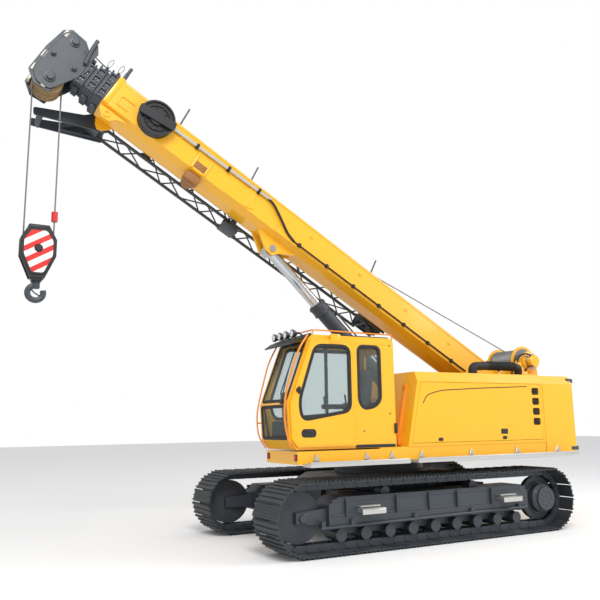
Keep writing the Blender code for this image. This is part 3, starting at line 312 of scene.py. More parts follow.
def piece(name, shape, finish, body, slot, smooth=35.0):
    """Mesh object from a shape, with merged doubles, outward faces, a finish and a body."""
    points, faces = shape
    totals = np.concatenate([np.full(len(face), face.shape[1]) for face in faces])
    loops = np.concatenate([face.ravel() for face in faces]).astype(np.int32)
    mesh = bpy.data.meshes.new(name)
    mesh.vertices.add(len(points))
    mesh.vertices.foreach_set("co", points.astype(np.float32).ravel())
    mesh.loops.add(len(loops))
    mesh.loops.foreach_set("vertex_index", loops)
    mesh.polygons.add(len(totals))
    starts = np.concatenate([[0], np.cumsum(totals)[:-1]]).astype(np.int32)
    mesh.polygons.foreach_set("loop_start", starts)
    mesh.update(calc_edges=True)
    mesh.validate()
    tidy = bmesh.new()
    tidy.from_mesh(mesh)
    bmesh.ops.remove_doubles(tidy, verts=tidy.verts, dist=0.00002)
    bmesh.ops.recalc_face_normals(tidy, faces=tidy.faces)
    tidy.to_mesh(mesh)
    tidy.free()
    mesh.shade_smooth()
    mesh.set_sharp_from_angle(angle=math.radians(smooth))
    mesh.materials.append(finish)
    item = bpy.data.objects.new(name, mesh)
    bpy.context.scene.collection.objects.link(item)
    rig.ride(item, body)
    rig.slot(item, slot)
    print(name, len(mesh.polygons), "faces on", body)
    return item


# %% Rounded box, plate, tube and turned part
def soft_box(low, high, radius=0.010, steps=2):
    """Rounded box: a ball's grid, cut in eight, each eighth pushed out to a corner."""
    low, high = np.array(low, float), np.array(high, float)
    half = (high - low) / 2
    radius = min(radius, half.min() * 0.98)
    quarter = np.linspace(0, np.pi / 2, steps + 1)
    turn_by = np.concatenate([quarter + k * np.pi / 2 for k in range(4)])
    side = np.repeat([[1, 1], [-1, 1], [-1, -1], [1, -1]], steps + 1, axis=0)
    t, r = np.meshgrid(turn_by, np.concatenate([quarter - np.pi / 2, quarter]))
    lift = np.repeat([-1, 1], steps + 1)[:, None] * np.ones_like(t)
    ball = np.stack([np.cos(r) * np.cos(t), np.cos(r) * np.sin(t), np.sin(r)], -1)
    corner = np.stack([side[:, 0] * np.ones_like(t), side[:, 1] * np.ones_like(t), lift], -1)
    points = (low + high) / 2 + corner * (half - radius) + ball * radius
    rows, columns = t.shape
    cap = (np.arange(4) * (steps + 1))[None]
    return points.reshape(-1, 3), [grid_faces(rows, columns), cap, cap + (rows - 1) * columns]


def round_corners(outline, radius, steps=4):
    """Outline whose corners are arcs: each corner's two tangent points joined by a curve."""
    flat = np.array(outline, float)
    back = np.roll(flat, 1, 0) - flat
    ahead_edge = np.roll(flat, -1, 0) - flat
    reach = np.minimum(np.linalg.norm(back, axis=1), np.linalg.norm(ahead_edge, axis=1)) / 2
    reach = np.minimum(reach, radius)[:, None]
    start = flat + back / np.linalg.norm(back, axis=1)[:, None] * reach
    end = flat + ahead_edge / np.linalg.norm(ahead_edge, axis=1)[:, None] * reach
    share = np.linspace(0, 1, steps + 1)[None, :, None]
    curve = (1 - share) ** 2 * start[:, None] + 2 * share * (1 - share) * flat[:, None]
    curve = (curve + share ** 2 * end[:, None]).reshape(-1, 2)
    return curve[np.linalg.norm(curve - np.roll(curve, 1, 0), axis=1) > 0.0001]


def to_plane(flat, level, plane):
    """Flat points and a level, placed in space on the XZ, YZ or XY plane."""
    level = np.broadcast_to(level, flat.shape[:-1])
    order = {"XZ": (flat[..., 0], level, flat[..., 1]), "YZ": (level, flat[..., 0], flat[..., 1]),
             "XY": (flat[..., 0], flat[..., 1], level)}[plane]
    return np.stack(order, -1)


def inward(flat):
    """Direction that moves each outline point square to its two edges."""
    ahead_edge = np.roll(flat, -1, 0) - flat
    ahead_edge /= np.linalg.norm(ahead_edge, axis=1)[:, None]
    back = np.roll(ahead_edge, 1, 0)
    total = np.stack([-ahead_edge[:, 1] - back[:, 1], ahead_edge[:, 0] + back[:, 0]], -1)
    return total / np.maximum((total ** 2).sum(1) / 2, 0.4)[:, None]


def prism(outline, low, high, plane="XZ", bevel=0.004):
    """Plate: the outline at four levels, drawn in a little at the two outer ones."""
    flat = np.array(outline, float)
    nxt = np.roll(flat, -1, 0)
    if (flat[:, 0] * nxt[:, 1] - nxt[:, 0] * flat[:, 1]).sum() < 0:
        flat = flat[::-1]
    draw = np.array([bevel, 0.0, 0.0, bevel])[:, None, None]
    rings = flat[None] + inward(flat)[None] * draw
    levels = np.array([low, low + bevel, high - bevel, high])[:, None]
    count = len(flat)
    cap = np.arange(count)[None]
    return (to_plane(rings, levels, plane).reshape(-1, 3),
            [grid_faces(4, count), cap, cap + 3 * count])


def sweep(path, profile, closed=False, up=None):
    """Profile carried along a path: path point, plus profile across and above the tangent."""
    path, profile = np.array(path, float), np.array(profile, float)
    along = np.roll(path, -1, 0) - np.roll(path, 1, 0) if closed else np.gradient(path, axis=0)
    along /= np.linalg.norm(along, axis=1)[:, None]
    if up is None:
        up = np.eye(3)[np.abs(along).max(0).argmin()]
    side = np.cross(along, up)
    side /= np.linalg.norm(side, axis=1)[:, None]
    above = np.cross(side, along)
    points = (path[:, None] + side[:, None] * profile[None, :, :1]
              + above[:, None] * profile[None, :, 1:]).reshape(-1, 3)
    count = len(profile)
    faces = [grid_faces(len(path), count, wrap_rows=closed)]
    if not closed:
        cap = np.arange(count)[None]
        faces += [cap, cap + (len(path) - 1) * count]
    return points, faces


def circle(radius, sides=10):
    """Points of a circle: radius times cosine and sine of even angles."""
    angle = np.arange(sides) * 2 * np.pi / sides
    return np.stack([np.cos(angle), np.sin(angle)], -1) * radius


def bend(points, radius, steps=6):
    """Path whose inner corners are curves between points a radius before and after."""
    points = np.array(points, float)
    rows = [points[:1]]
    for before, here, after in zip(points[:-2], points[1:-1], points[2:]):
        reach = min(radius, np.linalg.norm(before - here) / 2, np.linalg.norm(after - here) / 2)
        start = here + (before - here) / np.linalg.norm(before - here) * reach
        end = here + (after - here) / np.linalg.norm(after - here) * reach
        t = np.linspace(0, 1, steps + 1)[:, None]
        rows.append((1 - t) ** 2 * start + 2 * t * (1 - t) * here + t ** 2 * end)
    return np.concatenate([*rows, points[-1:]])


def tube(points, radius, sides=10, corner=0.05):
    """Round bar along points, its corners bent to a radius."""
    return sweep(bend(points, corner), circle(radius, sides))


def turned(profile, centre, axis="Y", sides=32):
    """Part turned on a lathe: radius times cosine and sine round the axis, offset along it."""
    profile = np.array(profile, float)
    angle = np.arange(sides) * 2 * np.pi / sides
    across = profile[:, :1] * np.cos(angle)
    rise = profile[:, :1] * np.sin(angle)
    along = profile[:, 1:] * np.ones(sides)
    order = {"X": (along, across, rise), "Y": (across, along, rise), "Z": (across, rise, along)}
    points = np.stack(order[axis], -1).reshape(-1, 3) + np.array(centre, float)
    faces = [grid_faces(len(profile), sides)]
    cap = np.arange(sides)[None]
    if profile[0, 0] > 0.0001:
        faces.append(cap)
    if profile[-1, 0] > 0.0001:
        faces.append(cap + (len(profile) - 1) * sides)
    return points, faces


def ring(profile, centre, axis="Y", sides=32):
    """Closed ring on a lathe: a closed profile round a bore."""
    points, faces = turned(profile, centre, axis, sides)
    return points, [grid_faces(len(profile), sides, wrap_rows=True)]


def bolts(places, axis="Y", radius=0.012, height=0.010):
    """Hexagon bolt heads: a six-sided turned part with a chamfer, once at each place."""
    head = turned([(radius, 0.0), (radius, height * 0.7), (radius * 0.8, height)], (0, 0, 0),
                  axis, 6)
    return copies(head, places)


sample = soft_box((0, 0, 0), (1, 1, 1), 0.1)
print("a rounded box has", len(sample[0]), "points")

# %% [markdown]
# ## Effects that finishes share
# Paint, cast steel and rubber all gather dust and show a fine grain. Each effect is one node
# group with named inputs and outputs, built once and placed in every finish with its own
# values. An image could do this too, but noise on Object coordinates has no seams.


# %% Node groups
def new_group(name, inputs, outputs):
    """Shader node group with the named sockets, and its input and output nodes."""
    tree = bpy.data.node_groups.new(name, "ShaderNodeTree")
    for label, kind, value in inputs:
        socket = tree.interface.new_socket(label, in_out="INPUT", socket_type=kind)
        socket.default_value = value
    for label, kind in outputs:
        tree.interface.new_socket(label, in_out="OUTPUT", socket_type=kind)
    return tree, tree.nodes.new("NodeGroupInput"), tree.nodes.new("NodeGroupOutput")


def value_node(tree, operation, first, second):
    """Math node whose two inputs are links or plain numbers."""
    node = tree.nodes.new("ShaderNodeMath")
    node.operation = operation
    for socket, source in zip(node.inputs, (first, second)):
        if isinstance(source, (int, float)):
            socket.default_value = source
        else:
            tree.links.new(source, socket)
    return node.outputs[0]


def noise_node(tree, scale, detail=3.0):
    """Noise on Object coordinates; scale is a link or a number."""
    place = tree.nodes.new("ShaderNodeTexCoord")
    noise = tree.nodes.new("ShaderNodeTexNoise")
    noise.inputs["Detail"].default_value = detail
    tree.links.new(place.outputs["Object"], noise.inputs["Vector"])
    if isinstance(scale, float):
        noise.inputs["Scale"].default_value = scale
    else:
        tree.links.new(scale, noise.inputs["Scale"])
    return noise.outputs["Fac"]


def mix_colour(tree, share, first, second):
    """Mix of two colours by a share."""
    mix = tree.nodes.new("ShaderNodeMix")
    mix.data_type = "RGBA"
    tree.links.new(share, mix.inputs[0])
    for socket, source in ((mix.inputs[6], first), (mix.inputs[7], second)):
        if isinstance(source, tuple):
            socket.default_value = source
        else:
            tree.links.new(source, socket)
    return mix.outputs[2]


DUST, DUST_IN, DUST_OUT = new_group(
    "settled_dust",
    [("Colour", "NodeSocketColor", (1, 1, 1, 1)), ("Dust", "NodeSocketColor", (1, 1, 1, 1)),
     ("Amount", "NodeSocketFloat", 0.3), ("Scale", "NodeSocketFloat", 3.0)],
    [("Colour", "NodeSocketColor"), ("Mask", "NodeSocketFloat")])
facing_up = DUST.nodes.new("ShaderNodeSeparateXYZ")
surface = DUST.nodes.new("ShaderNodeNewGeometry")
DUST.links.new(surface.outputs["Normal"], facing_up.inputs[0])
lying = value_node(DUST, "MAXIMUM", facing_up.outputs["Z"], 0.15)
patch = noise_node(DUST, DUST_IN.outputs["Scale"], 5.0)
patch = value_node(DUST, "SUBTRACT", patch, 0.36)
patch = value_node(DUST, "MULTIPLY", patch, 3.0)
patch = value_node(DUST, "MAXIMUM", patch, 0.0)
patch = value_node(DUST, "MINIMUM", patch, 1.0)
mask = value_node(DUST, "MULTIPLY", value_node(DUST, "MULTIPLY", patch, lying),
                  DUST_IN.outputs["Amount"])
DUST.links.new(mix_colour(DUST, mask, DUST_IN.outputs["Colour"], DUST_IN.outputs["Dust"]),
               DUST_OUT.inputs["Colour"])
DUST.links.new(mask, DUST_OUT.inputs["Mask"])

GRAIN, GRAIN_IN, GRAIN_OUT = new_group(
    "surface_grain",
    [("Fine", "NodeSocketFloat", 300.0), ("Broad", "NodeSocketFloat", 6.0),
     ("Roughness", "NodeSocketFloat", 0.4), ("Spread", "NodeSocketFloat", 0.1)],
    [("Height", "NodeSocketFloat"), ("Roughness", "NodeSocketFloat")])
GRAIN.links.new(noise_node(GRAIN, GRAIN_IN.outputs["Fine"], 2.0), GRAIN_OUT.inputs["Height"])
wide = value_node(GRAIN, "SUBTRACT", noise_node(GRAIN, GRAIN_IN.outputs["Broad"], 4.0), 0.5)
wide = value_node(GRAIN, "MULTIPLY", wide, GRAIN_IN.outputs["Spread"])
GRAIN.links.new(value_node(GRAIN, "ADD", wide, GRAIN_IN.outputs["Roughness"]),
                GRAIN_OUT.inputs["Roughness"])
print("groups", [tree.name for tree in bpy.data.node_groups])


# %% A finish from the shared effects
def finish(name, colour, roughness=0.4, metallic=0.0, dust=0.2, grain=0.10, fine=260.0,
           coat=0.0, dust_colour=(0.42, 0.36, 0.28, 1.0), tone=0.10):
    """Principled material: colour with broad tone changes and dust, roughness and bump."""
    made = bpy.data.materials.new(name)
    made.use_nodes = True
    tree = made.node_tree
    shader = tree.nodes["Principled BSDF"]
    shader.inputs["Metallic"].default_value = metallic
    shader.inputs["Coat Weight"].default_value = coat
    shader.inputs["Coat Roughness"].default_value = 0.08
    shade = tuple(c * (1.0 - tone) for c in colour)
    broad = noise_node(tree, 1.3, 4.0)
    base = mix_colour(tree, broad, (*colour, 1.0), (*shade, 1.0))
    settled = tree.nodes.new("ShaderNodeGroup")
    settled.node_tree = DUST
    settled.inputs["Amount"].default_value = dust
    settled.inputs["Dust"].default_value = dust_colour
    tree.links.new(base, settled.inputs["Colour"])
    tree.links.new(settled.outputs["Colour"], shader.inputs["Base Color"])
    skin = tree.nodes.new("ShaderNodeGroup")
    skin.node_tree = GRAIN
    skin.inputs["Fine"].default_value = fine
    skin.inputs["Roughness"].default_value = roughness
    skin.inputs["Spread"].default_value = 0.18
    rough = value_node(tree, "ADD", skin.outputs["Roughness"],
                       value_node(tree, "MULTIPLY", settled.outputs["Mask"], 0.3))
    tree.links.new(rough, shader.inputs["Roughness"])
    relief = tree.nodes.new("ShaderNodeBump")
    relief.inputs["Strength"].default_value = grain
    relief.inputs["Distance"].default_value = 0.002
    tree.links.new(skin.outputs["Height"], relief.inputs["Height"])
    tree.links.new(relief.outputs["Normal"], shader.inputs["Normal"])
    return made


# %% [markdown]
# ## The finishes
# The house and the base boom are a warm golden yellow enamel. The undercarriage, boom head
# and jib are a blue-black slate paint. Shoes are rolled steel with worn edges, the walkway is
# bare aluminium, and the cylinder rod is ground chrome.
# %% Paints, metals, rubber and glass
YELLOW = finish("golden_enamel", (0.92, 0.46, 0.012), 0.30, dust=0.10, grain=0.03, coat=0.35,
                tone=0.05)
AMBER = finish("amber_enamel", (0.85, 0.27, 0.012), 0.34, dust=0.10, grain=0.03, coat=0.25)
SLATE = finish("slate_enamel", (0.045, 0.056, 0.070), 0.42, dust=0.22, grain=0.06,
               dust_colour=(0.16, 0.17, 0.18, 1.0), tone=0.25)
SHOE = finish("rolled_shoe_steel", (0.040, 0.047, 0.054), 0.50, metallic=0.25, dust=0.45,
              grain=0.35, fine=90.0, dust_colour=(0.15, 0.16, 0.17, 1.0), tone=0.35)
BLACK = finish("black_plastic", (0.012, 0.013, 0.015), 0.48, dust=0.12, grain=0.12,
               dust_colour=(0.10, 0.10, 0.10, 1.0))
RUBBER = finish("black_rubber", (0.010, 0.011, 0.012), 0.62, dust=0.15, grain=0.25,
                dust_colour=(0.09, 0.09, 0.09, 1.0))
SILVER = finish("walkway_metal", (0.60, 0.60, 0.59), 0.38, metallic=0.75, dust=0.30,
                grain=0.20, fine=60.0)
CHROME = finish("ground_chrome", (0.55, 0.57, 0.60), 0.16, metallic=1.0, dust=0.05, grain=0.03)
IRON = finish("bare_cast_iron", (0.16, 0.15, 0.14), 0.45, metallic=0.6, dust=0.3, grain=0.3)
SHEAVE = finish("nylon_sheave", (0.33, 0.22, 0.10), 0.50, dust=0.25, grain=0.08)
CLIP = finish("pale_zinc_plate", (0.55, 0.50, 0.42), 0.42, metallic=0.3, dust=0.15, grain=0.1)
RED = finish("signal_red", (0.62, 0.020, 0.018), 0.38, dust=0.08, grain=0.05)
ROPE = finish("greased_wire_rope", (0.20, 0.20, 0.20), 0.45, metallic=0.7, dust=0.3,
              grain=0.8, fine=120.0)
# Yellow paint darkened to brown: painted shade for the jib pocket's recess and the lugs under the boom, with a dusty
# tint.
BROWN = finish("brown_hose_cover", (0.30, 0.12, 0.030), 0.55, dust=0.1, grain=0.1)
SEAT_CLOTH = finish("seat_cloth", (0.055, 0.055, 0.060), 0.85, dust=0.15, grain=0.9, fine=700.0,
                    dust_colour=(0.14, 0.14, 0.14, 1.0))
LAMP_GLASS = finish("lamp_glass", (0.80, 0.82, 0.84), 0.10, metallic=0.5, dust=0.05, grain=0.05)
GLASS = bpy.data.materials.new("tinted_glass")
GLASS.use_nodes = True
pane = GLASS.node_tree.nodes["Principled BSDF"]
pane.inputs["Base Color"].default_value = (0.72, 0.78, 0.78, 1.0)
pane.inputs["Roughness"].default_value = 0.02
pane.inputs["Transmission Weight"].default_value = 0.95
pane.inputs["IOR"].default_value = 1.10
FLOOR = bpy.data.materials.new("pale_floor")
FLOOR.use_nodes = True
FLOOR.node_tree.nodes["Principled BSDF"].inputs["Base Color"].default_value = (0.93, 0.93, 0.93, 1)
FLOOR.node_tree.nodes["Principled BSDF"].inputs["Roughness"].default_value = 0.9
floor.data.materials.append(FLOOR)
print(len(bpy.data.materials), "materials")

# %% [markdown]
# ## Finishes on the frame's own parts
# A CAD node whose shape is right keeps it, and only its finish changes.
# %% Dress the frame
DRESS = {
    "slewing_deck counterweight housing_left housing_right fuel_tank winch_frame "
    "housing_door_left cab_shell cab_door boom_base": YELLOW,
    "carbody slew_ring track_frame_left track_frame_right idler_left idler_right "
    "sprocket_left sprocket_right engine_block boom_tip lift_cylinder_barrel": SLATE,
    "boom_section_2 boom_section_3 roller_bank_left roller_bank_right": SLATE,
    "catwalk_front catwalk_rear": SILVER,
    "windscreen front_glass_low side_glass_rear side_glass_right back_glass door_glass": GLASS,
    "console cable_reel hook_block": BLACK,
    "lift_cylinder_rod lift_cylinder_pin": CHROME,
    "head_sheave_low head_sheave_top block_sheave": SHEAVE,
    "hook": SLATE, "limit_weight": RED, "rope_falls winch_drum": ROPE,
}
for names, paint in DRESS.items():
    for node_name in names.split():
        frame["nodes"][node_name].material_slots[0].material = paint
print("dressed", sum(len(names.split()) for names in DRESS), "nodes")

# %% [markdown]
# ## Tracks
# A track is a chain of links with a steel shoe bolted on each. A shoe is a plate with three
# low bars that grip the ground. One shoe's cross-section is a short outline; it is carried
# round the belt as a rigid plate, so it stays flat on the bends as the real ones do.
# %% Belt geometry from the frame
belt_low, belt_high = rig.box("track_left")
WHEEL = (belt_high.z - belt_low.z) / 2
REACH = (belt_high.x - belt_low.x) / 2 - WHEEL
BELT_X = (belt_high.x + belt_low.x) / 2
TRACK_Y = (belt_high.y + belt_low.y) / 2
SHOE_HALF = (belt_high.y - belt_low.y) / 2
SHOES = 58
PITCH_RADIUS = WHEEL - 0.030
BELT = 4 * REACH + 2 * math.pi * PITCH_RADIUS
PITCH = BELT / SHOES


def belt_frames(travel):
    """Place and tangent angle on the belt: straight runs joined by two half circles."""
    travel = np.mod(travel, BELT)
    bend_length = math.pi * PITCH_RADIUS
    s = travel[:, None] - np.array([0, 2 * REACH, 2 * REACH + bend_length, 4 * REACH + bend_length])
    leg = (s >= 0).sum(1) - 1
    s = s[np.arange(len(travel)), leg]
    angle = np.select([leg == 0, leg == 1, leg == 2], [0 * s, s / PITCH_RADIUS, 0 * s + np.pi],
                      np.pi + s / PITCH_RADIUS)
    x = np.select([leg == 0, leg == 1, leg == 2],
                  [s - REACH, REACH + PITCH_RADIUS * np.sin(angle), REACH - s],
                  -REACH + PITCH_RADIUS * np.sin(angle))
    z = WHEEL - PITCH_RADIUS * np.cos(angle)
    return x + BELT_X, z, angle


def along_belt(section, width_low, width_high, offset=0.0):
    """Section in travel and height, once for each shoe, reaching from one side to the other."""
    section = np.array(section, float)
    x, z, angle = belt_frames((np.arange(SHOES) + 0.96 + offset) * PITCH)
    c, s = np.cos(angle)[:, None], np.sin(angle)[:, None]
    px = x[:, None] + section[:, 0] * c + section[:, 1] * s
    pz = z[:, None] + section[:, 0] * s - section[:, 1] * c
    sides = [np.stack([px, np.full_like(px, y), pz], -1) for y in (width_low, width_high)]
    points = np.stack(sides, 1).reshape(-1, 3)
    count = len(section)
    step = (np.arange(SHOES) * 2 * count)[:, None, None]
    wall = (grid_faces(2, count)[None] + step).reshape(-1, 4)
    cap = (np.arange(count)[None, None] + step).reshape(-1, count)
    return points, [wall, cap, cap + count]


print("belt", round(BELT, 3), "m, pitch", round(PITCH, 4))

# %% Shoes, links and bolts
SHOE_SECTION = [(-0.100, -0.004), (-0.088, 0.006), (-0.084, 0.030), (-0.072, 0.030),
                (-0.066, 0.006), (-0.012, 0.004), (-0.008, 0.026), (0.006, 0.026), (0.010, 0.004),
                (0.062, 0.006), (0.068, 0.030), (0.080, 0.030), (0.086, 0.008), (0.102, 0.010),
                (0.102, 0.000), (0.080, -0.010), (-0.090, -0.012)]
LINK_SECTION = [(-0.118, -0.070), (-0.092, -0.112), (0.092, -0.112), (0.118, -0.070),
                (0.096, -0.016), (-0.096, -0.016)]
PIN_SECTION = circle(0.026, 8) + [0.0, -0.062]
for side, word in ((1, "left"), (-1, "right")):
    shoes = along_belt(SHOE_SECTION, side * TRACK_Y - SHOE_HALF, side * TRACK_Y + SHOE_HALF)
    shoes = piece("track_shoes_" + word, shoes, SHOE, "crawler_" + word, "track_black", 25)
    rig.replaces(shoes, "track_" + word)
    chain = []
    for arm in (-1, 1):
        middle = side * TRACK_Y + arm * 0.095
        chain.append(along_belt(LINK_SECTION, middle - 0.022, middle + 0.022))
        chain.append(along_belt(PIN_SECTION, middle - 0.030, middle + 0.030, 0.5))
    chain.append(along_belt(PIN_SECTION, side * TRACK_Y - 0.09, side * TRACK_Y + 0.09, 0.5))
    piece("track_chain_" + word, join(*chain), SLATE, "crawler_" + word, "slate_paint", 30)

# %% [markdown]
# ## Track frames
# On the outer face of each track frame are two folding steps in bright metal, a guard pipe
# above the rollers, the sprocket's hub with its bolts, and the idler's bearing block.
# %% Steps, guard pipe and hub
FRAME_FACE = TRACK_Y + 0.21


def machine_box(low, high, radius=0.010, steps=2):
    """Rounded box drawn in machine axes."""
    return machine(soft_box(low, high, radius, steps))


for side, word in ((1, "left"), (-1, "right")):
    outer = side * FRAME_FACE

    def spanned(x0, x1, out0, out1, z0, z1, radius=0.008):
        """Rounded box that stands out from the frame's outer face."""
        y = sorted((outer + side * out0, outer + side * out1))
        return machine_box((x0, y[0], z0), (x1, y[1], z1), radius)

    steps = []
    for x0 in (1.06, -1.60):
        steps.append(spanned(x0, x0 + 0.40, 0.06, 0.19, 0.585, 0.600, 0.006))
        steps.append(spanned(x0, x0 + 0.40, 0.175, 0.190, 0.52, 0.600, 0.006))
        steps.append(spanned(x0 + 0.03, x0 + 0.06, -0.01, 0.18, 0.54, 0.588, 0.006))
        steps.append(spanned(x0 + 0.34, x0 + 0.37, -0.01, 0.18, 0.54, 0.588, 0.006))
        steps.append(spanned(x0 + 0.03, x0 + 0.37, -0.01, 0.09, 0.61, 0.63, 0.006))
    piece("track_steps_" + word, join(*steps), SILVER, "crawler_" + word, "walkway_aluminium")
    y = outer + side * 0.03
    pipe = machine(tube([(-1.85, y, 0.40), (2.05, y, 0.36)], 0.022))
    posts = [spanned(x, x + 0.06, -0.02, 0.05, 0.36, 0.46) for x in (-1.7, -0.7, 0.4, 1.5, 1.98)]
    bands = [spanned(-1.85, 1.85, -0.005, 0.010, z, z + 0.035, 0.004) for z in (0.50, 0.70)]
    ribs = [spanned(x, x + 0.022, -0.005, 0.05, 0.49, 0.74, 0.004)
            for x in (-1.1, -0.4, 0.15, 0.75, 1.62)]
    piece("track_frame_details_" + word, join(pipe, *posts, *bands, *ribs), SLATE,
          "crawler_" + word, "slate_paint")
    hub_x = BELT_X - REACH
    angle = np.arange(16) * 2 * np.pi / 16
    ring_points = np.stack([hub_x + 0.205 * np.cos(angle), 0 * angle,
                            WHEEL + 0.205 * np.sin(angle)], -1)
    face = side * (TRACK_Y + 0.207)
    heads = bolts(ring_points + [0, 0, 0], "Y", 0.014, side * 0.020)
    heads = (heads[0] + [0, face - side * 0.02, 0], heads[1])
    small = np.stack([hub_x + 0.12 * np.cos(angle[::2]), 0 * angle[::2],
                      WHEEL + 0.12 * np.sin(angle[::2])], -1)
    caps = bolts(small, "Y", 0.012, side * 0.014)
    caps = (caps[0] + [0, side * (TRACK_Y + 0.249), 0], caps[1])
    rim = ring([(0.225, 0.0), (0.235, side * 0.02), (0.255, side * 0.02), (0.265, 0.0)],
               (hub_x, side * (TRACK_Y + 0.045), WHEEL))
    piece("drive_bolts_" + word, join(heads, caps, rim), IRON, "crawler_" + word, "track_black")
    nose = BELT_X + REACH
    block = soft_box((nose - 0.10, min(outer - side * 0.12, outer - side * 0.04), WHEEL - 0.075),
                     (nose + 0.10, max(outer - side * 0.12, outer - side * 0.04), WHEEL + 0.075), 0.02)
    ring_cap = turned([(0.0, side * 0.03), (0.05, side * 0.03), (0.06, 0.0)],
                      (nose, outer - side * 0.04, WHEEL), "Y", 24)
    piece("idler_bearing_" + word, join(block, ring_cap), SLATE, "crawler_" + word, "slate_paint")

# %% [markdown]
# ## Walkway and front beam
# A folding walkway of bright channel runs along the cab's side on short brackets. The beam
# under the cab carries marker lamps.
# %% Walkway brackets and lamps
walk = []
for x in (2.05, 1.20, 0.75, 0.20, -0.80, -1.80, -2.75):
    walk.append(machine_box((x - 0.02, 1.34, 1.235), (x + 0.02, 1.58, 1.262), 0.006))
    walk.append(machine(prism([(x - 0.05, 1.262), (x + 0.05, 1.262), (x, 1.37)], 1.394, 1.412)))
for x0, x1 in ((0.57, 2.25), (-3.04, 0.41)):
    walk.append(machine_box((x0, 1.588, 1.186), (x1, 1.606, 1.262), 0.008))
    walk.append(machine_box((x0, 1.394, 1.225), (x1, 1.60, 1.236), 0.004))
    bars = np.arange(x0 + 0.05, x1 - 0.05, 0.06)
    tread = soft_box((-0.006, 1.41, 1.234), (0.006, 1.58, 1.244), 0.003, 1)
    walk.append(machine(copies(tread, np.stack([bars, 0 * bars, 0 * bars], -1))))
piece("walkway_channels", join(*walk), SILVER, "superstructure", "walkway_aluminium")
beam = [machine_box((2.31, y - 0.04, 1.27), (2.352, y + 0.04, 1.36), 0.01) for y in (0.46, 1.33)]
piece("front_marker_housings", join(*beam), BLACK, "superstructure", "black_trim")
beam = [machine_box((2.345, y - 0.028, 1.285), (2.360, y + 0.028, 1.345), 0.008)
        for y in (0.46, 1.33)]
piece("front_marker_lenses", join(*beam), RED, "superstructure", "black_trim")

# %% [markdown]
# ## Cab
# The cab is a yellow steel box with black-framed windows that have rounded corners. A frame
# is a rubber profile carried round the window's outline. Outside it carries a sliding door
# with its roller bracket, grab rails, roof rail, visor, work lamps and wiper.
# %% Window rubbers
CAB_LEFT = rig.box("cab_shell")[1].y
DOOR_LOW, DOOR_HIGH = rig.box("cab_door")
RUBBER_PROFILE = [(-0.022, -0.004), (0.022, -0.004), (0.024, 0.002), (0.016, 0.009),
                  (-0.016, 0.009), (-0.024, 0.002)]
DOOR_WINDOW = [(1.46, 1.96), (2.27, 1.83), (2.31, 2.10), (2.04, 2.90), (1.46, 2.90)]
REAR_WINDOW = [(1.00, 2.02), (1.20, 1.99), (1.28, 2.10), (1.28, 2.92), (0.89, 2.92), (0.89, 2.12)]
RIGHT_WINDOW = [(0.85, 1.95), (2.25, 1.85), (2.33, 2.08), (2.03, 2.92), (0.85, 2.92)]


def window_rubber(outline, radius, level, outward=1):
    """Rubber profile carried round a window on the XZ plane."""
    flat = to_plane(round_corners(outline, radius, 5), level, "XZ")
    profile = np.array(RUBBER_PROFILE) * [1, outward]
    return machine(sweep(flat, profile, closed=True, up=(0, 1, 0)))


rubbers = [window_rubber(REAR_WINDOW, 0.09, 1.3555),
           window_rubber(REAR_WINDOW, 0.09, 1.314, -1),
           window_rubber(RIGHT_WINDOW, 0.10, 0.4495, -1), window_rubber(RIGHT_WINDOW, 0.10, 0.491)]
for low_end, high_end, s0, s1 in (((2.48, 2.06), (2.12, 3.01), 0.05, 0.93),
                                  ((2.45, 1.55), (2.48, 2.06), 0.06, 0.94)):
    a, b = np.array([low_end[0], 0, low_end[1]]), np.array([high_end[0], 0, high_end[1]])
    normal = np.cross([0, 1, 0], (b - a) / np.linalg.norm(b - a))
    corners = round_corners([(0.52, s0), (1.285, s0), (1.285, s1), (0.52, s1)], 0.05, 4)
    path3 = a + (b - a) * corners[:, 1:] + np.array([0, 1, 0]) * corners[:, :1]
    rubbers.append(machine(sweep(path3 + normal * 0.002, RUBBER_PROFILE, closed=True, up=normal)))
piece("cab_window_rubbers", join(*rubbers), RUBBER, "cab", "black_trim")
door_face = 1.401
piece("door_window_rubber", join(window_rubber(DOOR_WINDOW, 0.12, door_face),
                                 window_rubber(DOOR_WINDOW, 0.12, 1.361, -1)),
      RUBBER, "sliding_door", "black_trim")

# %% Door furniture
handle = round_corners([(2.045, 1.590), (2.285, 1.590), (2.285, 1.708), (2.045, 1.708)], 0.11, 6)
parts = [machine(prism(handle, 1.396, 1.409, bevel=0.005)),
         machine_box((2.10, 1.400, 1.655), (2.23, 1.418, 1.690), 0.010),
         machine_box((2.292, 1.392, 2.20), (2.335, 1.425, 2.30), 0.010),
         machine_box((2.305, 1.405, 2.225), (2.365, 1.420, 2.275), 0.008)]
piece("door_handle", join(*parts), BLACK, "sliding_door", "black_trim")
bracket = [machine_box((1.62, 1.375, 2.955), (1.78, 1.425, 3.075), 0.012),
           machine_box((1.60, 1.396, 2.93), (1.80, 1.412, 2.965), 0.006)]
seam = round_corners([(1.405, 1.485), (2.32, 1.485), (2.405, 1.58), (2.43, 2.06), (2.085, 2.97),
                      (1.405, 2.97)], 0.06, 3)
press = [(-0.006, -0.003), (0.006, -0.003), (0.004, 0.004), (-0.004, 0.004)]
bracket.append(machine(sweep(to_plane(seam, door_face, "XZ"), press, closed=True, up=(0, 1, 0))))
piece("door_roller_bracket", join(*bracket), YELLOW, "sliding_door", "crane_yellow")
rail = [machine_box((0.655, 1.354, 1.425), (1.36, 1.372, 1.468), 0.006),
        machine_box((0.615, 1.350, 1.62), (0.665, 1.385, 1.775), 0.016)]
piece("door_lower_rail", join(*rail), BLACK, "cab", "black_trim")
piece("cab_bolts", machine(bolts([(1.206, 1.352, 1.665), (0.728, 1.352, 1.92), (0.70, 1.352, 2.95)],
                                 "Y", 0.014, 0.012)), IRON, "cab", "bare_steel")

